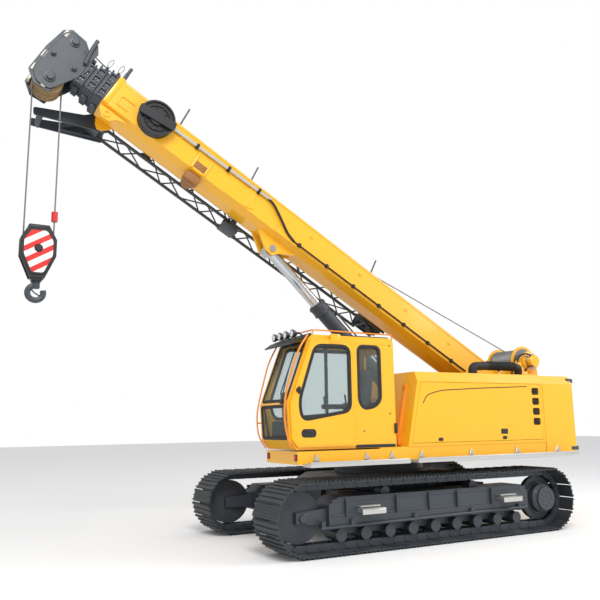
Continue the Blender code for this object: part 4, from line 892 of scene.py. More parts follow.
# %% Roof: rail, hatch strip, visor and lamps
roof = [machine(tube([(2.04, 1.30, 3.03), (2.02, 1.30, 3.135), (0.60, 1.30, 3.125),
                      (0.62, 1.30, 3.02)], 0.011)),
        machine(tube([(2.04, 0.50, 3.03), (2.02, 0.50, 3.135), (0.60, 0.50, 3.125),
                      (0.62, 0.50, 3.02)], 0.011)),
        machine(tube([(2.02, 1.30, 3.135), (2.02, 0.50, 3.135)], 0.011))]
piece("cab_roof_rail", join(*roof), AMBER, "cab", "crane_yellow")
gutter = machine_box((0.68, 0.48, 3.055), (1.52, 1.32, 3.082), 0.012)
piece("roof_hatch", gutter, BLACK, "cab", "black_trim")
visor = machine(prism([(2.06, 3.050), (2.30, 2.955), (2.40, 2.90), (2.41, 2.915), (2.31, 2.985),
                       (2.07, 3.085)], 0.47, 1.335, bevel=0.003))
arms = [machine(tube([(2.10, y, 3.02), (2.22, y, 3.10), (2.26, y, 3.06)], 0.012))
        for y in (0.60, 0.80, 1.00, 1.22)]
piece("cab_visor", join(visor, *arms), BLACK, "cab", "black_trim")
lamps, lenses = [], []
for y in (0.55, 0.74, 0.93, 1.15):
    lamps.append(machine(turned([(0.0, -0.07), (0.03, -0.07), (0.058, -0.02), (0.062, 0.01),
                                 (0.056, 0.014)], (2.28, y, 3.085), "X", 20)))
    lenses.append(machine(turned([(0.054, 0.010), (0.040, 0.018), (0.0, 0.021)],
                                 (2.28, y, 3.085), "X", 20)))
piece("work_lamp_bodies", join(*lamps), SLATE, "cab", "black_trim")
piece("work_lamp_lenses", join(*lenses), LAMP_GLASS, "cab", "walkway_aluminium")

# %% Grab rails, wiper and pillar linings
far = [(2.20, 0.50, 2.98), (2.36, 0.50, 2.70), (2.51, 0.50, 2.15), (2.56, 0.50, 1.90),
       (2.53, 0.50, 1.60), (2.40, 0.50, 1.43)]
near = [(2.13, 1.34, 3.05), (2.27, 1.34, 2.86), (2.43, 1.34, 2.45), (2.52, 1.34, 2.08),
        (2.51, 1.34, 1.75), (2.43, 1.34, 1.47), (2.36, 1.34, 1.45)]
rails = [machine(tube(far, 0.012, 10, 0.2)), machine(tube(near, 0.015, 10, 0.2)),
         machine(tube([(2.545, 0.50, 1.80), (2.47, 0.50, 1.80)], 0.010)),
         machine(tube([(2.515, 1.34, 1.80), (2.44, 1.34, 1.80)], 0.010))]
piece("front_grab_rails", join(*rails), AMBER, "cab", "crane_yellow")
wiper = [machine(tube([(2.50, 1.22, 2.10), (2.42, 1.18, 2.35), (2.30, 1.10, 2.62)], 0.007)),
         machine(tube([(2.47, 1.14, 2.22), (2.20, 1.10, 2.88)], 0.009)),
         machine_box((2.465, 1.18, 2.06), (2.52, 1.26, 2.11), 0.01)]
mirror_arm = [machine(tube([(2.15, 1.33, 3.02), (2.17, 1.42, 3.10), (2.20, 1.46, 2.98)], 0.009)),
              machine_box((2.10, 1.40, 2.66), (2.13, 1.50, 2.92), 0.012)]
piece("wiper", join(*wiper), BLACK, "cab", "black_trim")
inner_rail = [machine(tube([(2.335, 0.49, 1.50), (2.44, 0.49, 2.08), (2.08, 0.49, 2.98)], 0.02)),
              machine(tube([(2.335, 1.31, 1.50), (2.44, 1.31, 2.08), (2.08, 1.31, 2.98)], 0.02))]
piece("cab_pillar_linings", join(*inner_rail), BLACK, "cab", "black_trim")

# %% [markdown]
# ## Inside the cab
# Through the glass one sees a dark lining, the operator's seat and the control panels. The
# seat is foam under cloth: its surfaces are crowned, a rounded box whose faces swell by a
# cosine hump, with a channel sewn across.


# %% Seat
def cushion(low, high, crown, axis, channels=3, radius=0.045):
    """Rounded box whose broad face swells by cosine humps; the channels argument is not used."""
    points, faces = soft_box(low, high, radius, 4)
    low, high = np.array(low, float), np.array(high, float)
    share = (points - (low + high) / 2) / ((high - low) / 2)
    flat = [i for i in range(3) if i != axis]
    hump = np.cos(share[:, flat[0]] * np.pi / 2) * np.cos(share[:, flat[1]] * np.pi / 2)
    points[:, axis] += np.sign(share[:, axis]) * crown * (hump - 1) * np.abs(share[:, axis])
    return points, faces


def cushion_grid(low, high, crown, top_axis=2, channels=3, rows=25):
    """Closed pillow: two sheets over a rectangle that meet at its edge; height is crown times
    the fourth root of how far a point is from the edge, less a dip at each channel."""
    u = np.linspace(-1, 1, rows)
    u, v = np.meshgrid(u, u, indexing="ij")
    edge = np.clip((1 - u ** 4) * (1 - v ** 4), 0, 1) ** 0.3
    dip = 0.10 * np.exp(-((np.abs(v) - 0.45) / 0.06) ** 2) * (channels > 0)
    low, high = np.array(low, float), np.array(high, float)
    middle, half = (low + high) / 2, (high - low) / 2
    pull = 1 - 0.04 * (1 - edge)
    sheets = []
    for sign in (1, -1):
        h = sign * (edge * (1 - crown) + crown * edge * np.cos(u) * np.cos(v * 0.8) - dip * edge)
        flat = [u * pull, v * pull]
        flat.insert(top_axis, h)
        sheets.append(np.stack(flat, -1).reshape(-1, 3) * half + middle)
    under = grid_faces(rows, rows, False, False)
    return np.concatenate(sheets), [under, under[:, ::-1] + rows * rows]


seat_low, seat_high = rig.box("operator_seat")
pad = cushion_grid((seat_low.x + 0.15, seat_low.y + 0.09, seat_low.z + 0.26),
                   (seat_low.x + 0.69, seat_high.y - 0.09, seat_low.z + 0.41), 0.2)
seat_pad = piece("seat_cushion", pad, SEAT_CLOTH, "cab", "black_trim", 60)
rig.padded(seat_pad, fill=0.8)
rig.replaces(seat_pad, "operator_seat")
back = cushion_grid((-0.075, seat_low.y + 0.11, 0.0), (0.075, seat_high.y - 0.11, 0.78), 0.2, 0)
lean = math.radians(9.0)
shifted = back[0].copy()
shifted[:, 0] = back[0][:, 0] * math.cos(lean) - back[0][:, 2] * math.sin(lean)
shifted[:, 2] = back[0][:, 2] * math.cos(lean) + back[0][:, 0] * math.sin(lean)
shifted += [seat_low.x + 0.225, 0.0, seat_low.z + 0.385]
seat_back = piece("seat_back", (shifted, back[1]), SEAT_CLOTH, "cab", "black_trim", 60)
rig.padded(seat_back, fill=0.8)
x, y, z = seat_low.x, (seat_low.y + seat_high.y) / 2, seat_low.z
frame_parts = [soft_box((x + 0.20, y - 0.20, z), (x + 0.58, y + 0.20, z + 0.27), 0.03)]
for arm in (-1, 1):
    frame_parts.append(soft_box((x + 0.22, y + arm * 0.31 - 0.04, z + 0.54),
                                (x + 0.70, y + arm * 0.31 + 0.04, z + 0.62), 0.03))
    frame_parts.append(soft_box((x + 0.22, y + arm * 0.31 - 0.03, z + 0.20),
                                (x + 0.30, y + arm * 0.31 + 0.03, z + 0.56), 0.02))
    frame_parts.append(tube([(x + 0.64, y + arm * 0.31, z + 0.60), (x + 0.66, y + arm * 0.31, z + 0.74)],
                            0.014))
piece("seat_frame", join(*frame_parts), BLACK, "cab", "black_trim")
lining = [machine_box((0.68, 0.50, 1.47), (0.70, 1.30, 2.10), 0.01),
          machine_box((0.72, 0.50, 2.97), (2.02, 1.30, 3.015), 0.01),
          machine_box((0.75, 0.495, 1.47), (2.30, 0.515, 1.82), 0.01),
          machine_box((2.20, 0.56, 1.47), (2.34, 1.26, 1.60), 0.02),
          machine(tube([(0.72, 1.28, 3.00), (2.05, 1.28, 3.00)], 0.02)),
          machine(tube([(1.34, 0.505, 1.50), (1.34, 0.505, 2.96)], 0.028))]
piece("cab_lining", join(*lining), BLACK, "cab", "black_trim")

# %% [markdown]
# ## Housing and tail
# The left housing has one long lift-up door with lever latches and air grilles, and a line
# pressed along its top. The grille slots and the pressed line are thin black strips: painted
# shade in the openings and in the crease. Its front corner carries an amber strut that holds
# the service door. On top lie the intake elbow and its corrugated hose.
# %% Latches, grilles, line and corner guards
trim = []
for x in (-0.19, -1.543):
    trim.append(machine(prism(round_corners([(x - 0.045, 1.49), (x + 0.045, 1.49),
                                             (x + 0.045, 1.54), (x - 0.045, 1.54)], 0.02),
                              1.398, 1.412)))
trim.append(machine_box((-1.62, 1.397, 1.575), (-1.47, 1.404, 1.66), 0.006))
# Each grille slot is a black bar on the door: painted shade in the opening.
for level in (1.77, 1.94, 2.11, 2.28):
    for k in range(4):
        z = level - 0.045 + 0.030 * k
        trim.append(machine_box((-2.40, 1.376, z - 0.006), (-2.23, 1.394, z + 0.008), 0.005))
# The line pressed into the door is a thin black strip: painted shade in the crease.
arc = [(0.13, 1.4005, 2.07), (0.05, 1.4005, 2.20), (-0.22, 1.4005, 2.275), (-1.06, 1.4005, 2.32),
       (-2.12, 1.4005, 2.36)]
trim.append(machine(sweep(bend(arc, 0.3), [(-0.007, -0.002), (0.007, -0.002), (0.007, 0.002),
                                           (-0.007, 0.002)], up=(0, 1, 0))))
piece("housing_door_trim", join(*trim), BLACK, "housing_door", "black_trim")
guards = [machine_box((-3.30, 1.30, 1.26), (-3.10, 1.405, 1.34), 0.02),
          machine_box((-3.33, 1.28, 2.44), (-3.16, 1.36, 2.52), 0.02)]
edge = [machine_box((-2.515, 1.385, 1.44), (-2.480, 1.403, 2.40), 0.006)]
piece("corner_guards", join(*[mirror(shape) for shape in guards]), SLATE, "superstructure",
      "slate_paint")
strut = [machine(tube([(0.235, 1.12, 2.30), (0.40, 1.12, 1.62)], 0.045, 16)),
         machine(turned([(0.0, -0.03), (0.06, -0.03), (0.06, 0.03), (0.0, 0.03)],
                        (0.225, 1.12, 2.33), "Y", 20)),
         machine(turned([(0.0, -0.04), (0.065, -0.04), (0.065, 0.04), (0.0, 0.04)],
                        (0.41, 1.12, 1.58), "Y", 20)),
         machine_box((0.36, 1.02, 1.43), (0.50, 1.22, 1.56), 0.02)]
piece("service_strut", join(*strut), AMBER, "superstructure", "crane_yellow")
top = [machine(tube([(-1.42, 0.86, 2.56), (-1.42, 0.86, 2.73), (-1.78, 0.86, 2.75)], 0.075, 18, 0.12))]
rings = np.arange(-2.36, -1.78, 0.035)
profile = np.stack([0.070 + 0.012 * np.cos(np.linspace(0, 2 * np.pi * len(rings), len(rings) * 6)),
                    np.linspace(-2.40, -1.76, len(rings) * 6)], -1)
profile = np.concatenate([[[0.0, -2.40]], profile, [[0.0, -1.76]]])
top.append(machine(turned(profile, (0.0, 0.86, 2.75), "X", 20)))
top.append(machine(tube([(-2.38, 0.86, 2.75), (-2.52, 0.86, 2.73), (-2.55, 0.80, 2.56)], 0.07, 16)))
piece("intake_hose", join(*top), RUBBER, "superstructure", "black_trim")

# %% [markdown]
# ## Winch
# The winch stands on the tail behind the boom's foot. Its rope lies in neat turns: the
# surface is a turned profile whose radius waves once for each turn. A planet gearbox with a
# bright ring closes the near side.
# %% Rope on the drum, gearbox and valves
drum_at = np.array(joints["winch_spin"]["pos_m"])
turns = 26
s = np.linspace(-0.295, 0.295, turns * 6 + 1)
wave = 0.246 + 0.010 * np.abs(np.sin((s + 0.295) / 0.59 * np.pi * turns))
layer = np.concatenate([[[0.21, -0.297]], np.stack([wave, s], -1), [[0.21, 0.297]]])
piece("winch_rope_layer", turned(layer, drum_at, "Y", 48), ROPE, "winch", "wire_rope", 60)
rims = [ring([(0.262, y - 0.018), (0.305, y - 0.018), (0.309, y), (0.305, y + 0.018),
              (0.262, y + 0.018)], drum_at, "Y", 40) for y in (-0.315, 0.315)]
piece("winch_flanges", join(*rims), YELLOW, "winch", "crane_yellow")
cheek = 0.462
near_face = drum_at + [0, cheek, 0]
gear = [turned([(0.0, 0.17), (0.10, 0.17), (0.12, 0.15), (0.12, 0.06), (0.19, 0.05), (0.20, 0.03),
                (0.20, 0.0)], near_face, "Y", 36),
        turned([(0.0, -0.13), (0.09, -0.13), (0.15, -0.10), (0.17, -0.02), (0.17, 0.0)],
               drum_at - [0, cheek, 0], "Y", 32)]
piece("winch_gearbox", join(*gear), YELLOW, "superstructure", "crane_yellow")
angle = np.arange(12) * 2 * np.pi / 12
heads = bolts(np.stack([near_face[0] + 0.172 * np.cos(angle), 0 * angle + near_face[1] + 0.045,
                        near_face[2] + 0.172 * np.sin(angle)], -1), "Y", 0.011, 0.014)
bright = ring([(0.126, 0.060), (0.150, 0.060), (0.150, 0.078), (0.126, 0.078)], near_face)
piece("winch_bright_ring", join(heads, bright), CHROME, "superstructure", "bare_steel")
valves = [machine_box((-2.93, 0.475, 2.60), (-2.72, 0.60, 2.78), 0.015),
          machine_box((-2.90, 0.50, 2.78), (-2.80, 0.58, 2.86), 0.01),
          machine_box((-3.05, 0.49, 2.58), (-2.94, 0.58, 2.70), 0.01)]
piece("winch_valve_blocks", join(*valves), YELLOW, "superstructure", "crane_yellow")
hoses = [machine(tube([(-2.85, 0.53, 2.86), (-2.90, 0.53, 3.00), (-3.08, 0.56, 3.05),
                       (-3.18, 0.60, 2.98)], 0.016, 8, 0.08)),
         machine(tube([(-2.78, 0.56, 2.78), (-2.66, 0.60, 2.88), (-2.60, 0.62, 2.62)], 0.016, 8, 0.08)),
         machine(tube([(-3.00, 0.55, 2.70), (-3.05, 0.60, 2.80), (-3.16, 0.62, 2.80)], 0.014, 8, 0.06))]
piece("winch_hoses", join(*hoses), RUBBER, "superstructure", "black_trim")

# %% [markdown]
# ## Boom
# The base section is a box with a trapezoid belly. Details ride on its near face: the cable
# reel with a cover band, the guard tube of the cable, a hose, a long strip below the roof
# edge, weld-on ribs, bosses, gussets, the pocket of the jib and rope guides on its roof.
# %% Reel cover and guard tube
SIDE = 0.29
ROOF = 0.40
reel = np.array([7.51, SIDE + 0.125, 0.155])
flange = [boom(ring([(0.255, -0.02), (0.283, -0.02), (0.288, 0.0), (0.283, 0.02), (0.255, 0.02)],
                    reel, "Y", 48)),
          boom(ring([(0.19, 0.0), (0.21, 0.0), (0.205, 0.014), (0.195, 0.014)], reel, "Y", 40)),
          boom(turned([(0.0, 0.05), (0.06, 0.05), (0.075, 0.03), (0.12, 0.02), (0.12, -0.01)],
                      reel, "Y", 32))]
band = round_corners([(-0.30, -0.075), (0.30, -0.075), (0.30, 0.075), (-0.30, 0.075)], 0.04)
turn_by = math.radians(-8.0)
band = band @ np.array([[math.cos(turn_by), math.sin(turn_by)],
                        [-math.sin(turn_by), math.cos(turn_by)]]) + reel[[0, 2]]
flange.append(boom(prism(band, reel[1] + 0.02, reel[1] + 0.055, bevel=0.008)))
for spoke in range(12):
    a = spoke * np.pi / 6
    foot = reel + [0.12 * math.cos(a), 0.004, 0.12 * math.sin(a)]
    tip = reel + [0.19 * math.cos(a), 0.004, 0.19 * math.sin(a)]
    flange.append(boom(tube([foot, tip], 0.008, 6)))
piece("reel_cover", join(*flange), BLACK, "boom", "black_trim")
guard = [boom(tube([(7.24, SIDE + 0.035, 0.235), (5.34, SIDE + 0.035, 0.29)], 0.026, 12))]
piece("cable_guard_tube", join(*guard), SILVER, "boom", "walkway_aluminium")
hose = [boom(tube([(5.40, SIDE + 0.035, 0.285), (5.26, SIDE + 0.04, 0.262), (5.05, SIDE + 0.04, 0.14),
                   (4.80, SIDE + 0.035, -0.02), (4.64, SIDE + 0.03, -0.06)], 0.020, 10, 0.12)),
        boom(tube([(4.66, SIDE + 0.025, -0.06), (0.55, SIDE + 0.02, -0.045)], 0.014, 8))]
clips = [boom(soft_box((x, SIDE - 0.01, -0.085), (x + 0.05, SIDE + 0.045, -0.02), 0.008))
         for x in np.arange(0.9, 4.6, 0.6)]
clips += [boom(soft_box((x, SIDE - 0.01, z), (x + 0.05, SIDE + 0.068, z + 0.08), 0.008))
          for x, z in ((5.55, 0.245), (6.15, 0.225), (6.75, 0.205))]
piece("boom_hose", join(*hose, *clips), RUBBER, "boom", "black_trim")

# %% Ribs, gussets, pocket and bosses
near_details = []
for x, width in ((6.66, 0.04), (6.42, 0.04), (5.60, 0.05)):
    near_details.append(boom(soft_box((x, SIDE - 0.01, -0.09), (x + width, SIDE + 0.022, 0.20), 0.006)))
gusset = [(6.05, -0.10), (5.72, -0.10), (5.50, -0.04), (5.60, 0.30), (5.66, 0.30)]
near_details.append(boom(prism(gusset, SIDE - 0.005, SIDE + 0.014)))
near_details.append(boom(prism([(5.02, -0.105), (4.55, -0.105), (4.62, -0.02), (4.74, 0.03),
                                (4.95, 0.03)], SIDE - 0.005, SIDE + 0.014)))
u_path = [(7.88, SIDE + 0.006, 0.16), (8.10, SIDE + 0.006, 0.16), (8.10, SIDE + 0.006, 0.0),
          (7.92, SIDE + 0.006, 0.0)]
near_details.append(boom(tube(u_path, 0.012, 8, 0.03)))
for x in (7.05, 4.40, 3.30, 2.20, 1.10):
    near_details.append(boom(turned([(0.028, -0.01), (0.028, 0.014), (0.020, 0.022), (0.0, 0.022)],
                                    (x, SIDE, 0.22), "Y", 16)))
near_details.append(boom(soft_box((-0.10, SIDE - 0.01, ROOF - 0.055), (8.27, SIDE + 0.008, ROOF - 0.035), 0.004)))
near_details.append(boom(soft_box((8.18, -SIDE - 0.012, ROOF - 0.03), (8.285, SIDE + 0.012, ROOF + 0.012), 0.008)))
near_details.append(boom(soft_box((8.20, SIDE - 0.01, -0.095), (8.285, SIDE + 0.014, ROOF - 0.01), 0.008)))
jib_web = [(7.80, -0.145), (8.285, -0.145), (8.25, -0.22), (8.17, -0.30), (8.05, -0.295), (7.95, -0.20)]
near_details.append(boom(prism(jib_web, 0.232, 0.252, bevel=0.003)))
near_details.append(boom(ring([(0.030, 0.0), (0.060, 0.0), (0.058, 0.016), (0.032, 0.016)],
                              (8.13, 0.252, -0.215), "Y", 24)))
piece("boom_near_welds", join(*near_details), YELLOW, "boom", "crane_yellow")
# The pocket takes the brown finish: painted shade on its yellow paint, in the recess and under the boom.
pocket = [boom(soft_box((6.46, SIDE - 0.004, -0.06), (6.66, SIDE + 0.006, 0.06), 0.003)),
          boom(soft_box((6.44, 0.13, -0.30), (6.70, 0.29, -0.15), 0.03)),
          boom(turned([(0.0, -0.17), (0.10, -0.17), (0.11, -0.12), (0.11, 0.12), (0.0, 0.12)],
                      (6.57, 0.12, -0.20), "Y", 24))]
piece("boom_jib_pocket", join(*pocket), BROWN, "boom", "crane_yellow")

# %% Roof posts, rope guides and hoist rope
post = []
for x, y, height in ((7.17, 0.20, 0.36), (5.75, 0.20, 0.30), (3.05, 0.12, 0.34)):
    post.append(boom(tube([(x, y, ROOF - 0.01), (x + 0.02, y, ROOF + height)], 0.014, 8)))
    post.append(boom(turned([(0.0, -0.05), (0.035, -0.05), (0.025, 0.0), (0.035, 0.05), (0.0, 0.05)],
                            (x, 0.0, ROOF + 0.075), "Y", 16)))
    post.append(boom(soft_box((x - 0.04, -0.09, ROOF - 0.005), (x + 0.04, 0.09, ROOF + 0.03), 0.008)))
post.append(boom(soft_box((8.20, 0.16, ROOF), (8.26, 0.24, ROOF + 0.16), 0.012)))
post.append(boom(tube([(8.23, 0.20, ROOF + 0.10), (8.23, 0.20, ROOF + 0.28)], 0.026, 12)))
piece("boom_roof_posts", join(*post), SLATE, "boom", "slate_paint")
top_of_drum = drum_at + np.array([0.15, 0.0, 0.235])
to_boom = top_of_drum - FOOT
start = [to_boom @ RUN, 0.0, to_boom @ RISE]
lead = boom(tube([start, (3.05, 0.0, ROOF + 0.115), (8.28, 0.0, ROOF + 0.105)], 0.010, 8, 0.3))
rope_lead = piece("hoist_rope_on_boom", lead, ROPE, "boom", "wire_rope")
tip_rope = boom(tube([(8.28, 0.0, ROOF + 0.105), (8.95, 0.0, 0.595), (9.12, 0.0, 0.575),
                      (9.235, 0.0, 0.42), (9.262, 0.0, 0.0), (9.255, 0.0, -0.24)], 0.010, 8, 0.10))
piece("hoist_rope_at_head", tip_rope, ROPE, "tip", "wire_rope")

# %% [markdown]
# ## Collars and head
# Each inner section ends in a black collar with square pockets for its pads. On top stand
# short posts with bright loops that guide the rope. The head is two slate cheek plates with
# pin bosses, pale keeper plates and the sheaves between them.


# %% Collars
def collar_details(rear, half, roof, belly, body, word):
    """Raised bars round a collar's side and over its roof, a plate under its belly, and bolt heads."""
    front = rear + 0.130
    bars = []
    for z in (-0.085, 0.045, 0.175, roof - 0.045):
        bars.append(boom(soft_box((rear, half - 0.004, z), (front, half + 0.022, z + 0.035), 0.005)))
    for x in (rear, front - 0.024):
        bars.append(boom(soft_box((x, half - 0.004, -0.10), (x + 0.024, half + 0.030, roof), 0.006)))
        bars.append(boom(soft_box((x, -half, roof - 0.006), (x + 0.024, half + 0.02, roof + 0.028), 0.006)))
    bars.append(boom(soft_box((rear + 0.02, -0.12, belly - 0.05), (front - 0.02, 0.12, belly + 0.01), 0.01)))
    bars = [join(shape) for shape in bars]
    piece("collar_bars_" + word, join(*bars), SLATE, body, "slate_paint")
    heads = boom(bolts([(rear + x, half + 0.002, z) for x in (0.045, 0.085)
                        for z in (0.00, 0.13, 0.25)], "Y", 0.011, 0.014))
    piece("collar_bolts_" + word, heads, CHROME, body, "bare_steel")


def rope_loop(x, roof, body, word):
    """Black post with a bright wire loop above it."""
    base = [boom(soft_box((x - 0.03, 0.10, roof), (x + 0.03, 0.17, roof + 0.06), 0.01)),
            boom(tube([(x, 0.135, roof + 0.04), (x, 0.135, roof + 0.13)], 0.018, 10))]
    piece("loop_post_" + word, join(*base), BLACK, body, "black_trim")
    t = np.linspace(0, 2 * np.pi, 24, endpoint=False)
    path_loop = np.stack([x + 0.028 * np.cos(t), 0.135 + 0 * t,
                          roof + 0.20 + 0.085 * np.sin(t)], -1)
    piece("rope_loop_" + word, boom(sweep(path_loop, circle(0.006, 6), closed=True, up=(0, 1, 0))),
          CHROME, body, "bare_steel")


for order, body, word in ((1, "section_2", "first"), (2, "section_3", "second"),
                          (3, "tip", "third")):
    step = 0.035 * order - 0.030
    collar_details(8.2903 + 0.17 * (order - 1), 0.29 - step, 0.40 - step, -0.16 + step, body, word)
    if order < 3:
        rope_loop(8.345 + 0.17 * (order - 1), 0.40 - step, body, word)

# %% Head cheeks and keepers
CHEEK = 0.220
plate_outline = round_corners([(8.70, 0.16), (8.74, 0.36), (8.98, 0.53), (9.17, 0.55), (9.25, 0.46),
                               (9.29, 0.10), (9.28, -0.32), (9.14, -0.45), (8.95, -0.44),
                               (8.80, -0.12)], 0.05, 3)
head = []
for side in (-1, 1):
    low, high = sorted((side * (CHEEK - 0.002), side * (CHEEK + 0.014)))
    head.append(boom(prism(plate_outline, low, high, bevel=0.004)))
    for x, z, radius in ((9.04, -0.28, 0.085), (9.07, 0.42, 0.075), (8.86, 0.06, 0.05),
                         (9.20, 0.06, 0.045)):
        head.append(boom(turned([(0.0, side * 0.05), (radius * 0.6, side * 0.05), (radius * 0.62, side * 0.02),
                                 (radius, side * 0.015), (radius, 0.0)],
                                (x, side * (CHEEK + 0.012), z), "Y", 24)))
    rim = boom(sweep(to_plane(plate_outline, side * (CHEEK + 0.012), "XZ"),
                     [(-0.012, -0.006), (0.012, -0.006), (0.010, 0.008), (-0.010, 0.008)],
                     closed=True, up=(0, 1, 0)))
    head.append(rim)
    a, b = sorted((side * 0.205, side * 0.245))
    head.append(boom(prism([(8.74, 0.30), (8.72, 0.50), (8.80, 0.62), (8.84, 0.60), (8.82, 0.44),
                            (8.90, 0.40)], a, b)))
head.append(boom(soft_box((8.68, -0.20, 0.36), (8.78, 0.20, 0.42), 0.012)))
head.append(boom(soft_box((8.76, -0.20, 0.12), (9.24, 0.20, 0.16), 0.012)))
head.append(boom(soft_box((9.12, -0.20, -0.10), (9.28, 0.20, -0.07), 0.008)))
head.append(boom(tube([(8.78, 0.26, 0.22), (8.83, 0.27, 0.50), (8.84, 0.27, 0.66)], 0.030, 12)))
piece("head_plates", join(*head), SLATE, "tip", "slate_paint")
keepers = []
for side in (-1, 1):
    for x0, z0, x1, z1 in ((9.20, 0.40, 9.27, 0.52), (9.265, -0.10, 9.315, 0.04),
                           (9.27, -0.36, 9.31, -0.24), (9.00, -0.475, 9.07, -0.43)):
        y = sorted((side * 0.10, side * 0.236))
        keepers.append(boom(soft_box((x0, y[0], z0), (x1, y[1], z1), 0.008)))
piece("head_keeper_plates", join(*keepers), CLIP, "tip", "sheave_steel")
wheels = []
for y in (-0.14, -0.07, 0.07, 0.14):
    wheels.append(boom(ring([(0.05, -0.026), (0.210, -0.024), (0.214, -0.018), (0.190, -0.006),
                             (0.190, 0.006), (0.214, 0.018), (0.210, 0.024), (0.05, 0.026)],
                            (9.04, y, -0.28), "Y", 40)))
piece("head_sheave_stack", join(*wheels), SHEAVE, "low_sheave", "sheave_steel")
discs = []
for y in (-0.07, 0.07):
    discs.append(boom(ring([(0.05, -0.026), (0.158, -0.024), (0.162, -0.018), (0.142, 0.0),
                            (0.162, 0.018), (0.158, 0.024), (0.05, 0.026)],
                           (9.07, y, 0.42), "Y", 36)))
piece("head_top_discs", join(*discs), SHEAVE, "top_sheave", "sheave_steel")

# %% [markdown]
# ## Lattice jib
# The jib lies along the boom's right side. It is welded from round tube: four chords and a
# zigzag of thin lacing on each face. Every bar is a tube between two stations, so the whole
# lattice is a short list of end points.
# %% Chords and lacing
STATIONS = np.array([2.45, 3.25, 4.05, 4.85, 5.65, 6.45, 7.25, 8.05])
INNER, OUTER, LOW, HIGH = -0.44, -0.86, -0.10, 0.26
CHORDS = [(INNER, LOW), (INNER, HIGH), (OUTER, HIGH), (OUTER, LOW)]
bars = [tube([(STATIONS[0] - 0.02, *c), (STATIONS[-1] + 0.02, *c)], 0.027, 12) for c in CHORDS]
for c in CHORDS:
    flat = np.array(c)
    meet = np.array([(INNER + OUTER) / 2, -0.30])
    reach_to = flat + (meet - flat) * [0.25, 0.9]
    bars.append(tube([(8.05, *c), (8.62, reach_to[0], -0.36 - 0.05 * (c[1] < 0))], 0.026, 12))
for k in range(len(STATIONS) - 1):
    near_x, far_x = STATIONS[k], STATIONS[k + 1]
    for a, b in zip(CHORDS, CHORDS[1:] + CHORDS[:1]):
        middle = (near_x + far_x) / 2
        bars.append(tube([(near_x, *a), (middle, *b)], 0.013, 8))
        bars.append(tube([(middle, *b), (far_x, *a)], 0.013, 8))
for x in STATIONS[[0, 7]]:
    bars += [tube([(x, *a), (x, *b)], 0.016, 8) for a, b in zip(CHORDS, CHORDS[1:] + CHORDS[:1])]
fork = [(7.98, -0.14), (8.98, -0.62), (9.05, -0.52), (8.30, -0.05), (8.08, 0.10)]
plates = [prism(round_corners(fork, 0.03, 2), y - 0.015, y + 0.015) for y in (INNER, OUTER)]
plates.append(prism([(7.10, -0.12), (7.42, -0.12), (7.32, 0.02)], INNER + 0.0, INNER + 0.012))
plates.append(soft_box((8.10, OUTER, -0.16), (8.34, INNER, -0.10), 0.012))
plates.append(soft_box((8.86, OUTER - 0.01, -0.585), (8.95, INNER + 0.01, -0.53), 0.012))
middle = (INNER + OUTER) / 2
plates += [soft_box((2.02, y - 0.012, -0.08), (2.50, y + 0.012, 0.16), 0.008)
           for y in (middle - 0.225, middle - 0.08, middle + 0.08, middle + 0.225)]
plates.append(turned([(0.0, -0.06), (0.15, -0.06), (0.12, 0.0), (0.15, 0.06), (0.0, 0.06)],
                     (2.16, middle, 0.02), "Y", 28))
for x in (3.6, 7.0):
    plates.append(soft_box((x - 0.05, INNER - 0.01, HIGH - 0.06), (x + 0.05, -0.292, HIGH + 0.02), 0.008))
jib = piece("lattice_jib", boom(join(*bars, *plates)), SLATE, "boom", "slate_paint", 40)
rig.replaces(jib, "swingaway_jib")
stow = [boom(soft_box((5.42, -0.50, -0.33), (5.70, -0.20, -0.24), 0.012)),
        boom(soft_box((5.50, -0.34, -0.26), (5.60, -0.24, -0.12), 0.012)),
        boom(tube([(5.38, -0.46, -0.285), (5.74, -0.46, -0.285)], 0.035, 14)),
        boom(soft_box((5.44, -0.50, -0.26), (5.68, -0.47, -0.10), 0.01))]
piece("jib_stow_bracket", join(*stow), SLATE, "boom", "slate_paint")

# %% [markdown]
# ## Hook block
# Two cheek plates hold the sheave. Their faces have red and white diagonal bars, which are a
# common safety marking. Stripes are worked out from the place on the face: the sum of two
# coordinates, cut into even steps.
# %% Striped cheeks
STRIPE = finish("striped_cheek", (0.85, 0.85, 0.83), 0.35, dust=0.06, grain=0.03)
tree = STRIPE.node_tree
place = tree.nodes.new("ShaderNodeTexCoord")
parted = tree.nodes.new("ShaderNodeSeparateXYZ")
tree.links.new(place.outputs["Object"], parted.inputs[0])
slanted = value_node(tree, "ADD", value_node(tree, "MULTIPLY", parted.outputs["X"], 0.62),
                     parted.outputs["Z"])
cut = value_node(tree, "FRACT", value_node(tree, "MULTIPLY", slanted, 5.6), 0.0)
cut = value_node(tree, "GREATER_THAN", cut, 0.52)
striped = mix_colour(tree, cut, (0.86, 0.86, 0.84, 1.0), (0.66, 0.022, 0.020, 1.0))
settled = next(n for n in tree.nodes if n.type == "GROUP" and n.node_tree == DUST)
tree.links.new(striped, settled.inputs["Colour"])
axle = np.array(joints["block_sheave_spin"]["pos_m"])
hx, hz = axle[0], axle[2]
face = round_corners([(hx - 0.085, hz - 0.36), (hx + 0.085, hz - 0.36), (hx + 0.205, hz - 0.09),
                      (hx + 0.205, hz + 0.12), (hx + 0.11, hz + 0.27), (hx - 0.11, hz + 0.27),
                      (hx - 0.205, hz + 0.12), (hx - 0.205, hz - 0.09)], 0.04, 3)
cheeks = [prism(face, *sorted((s * 0.094, s * 0.103)), bevel=0.003) for s in (-1, 1)]
piece("hook_block_striped_plates", join(*cheeks), STRIPE, "hook_falls", "black_trim")
rims = []
border = to_plane(face, 0.0, "XZ")
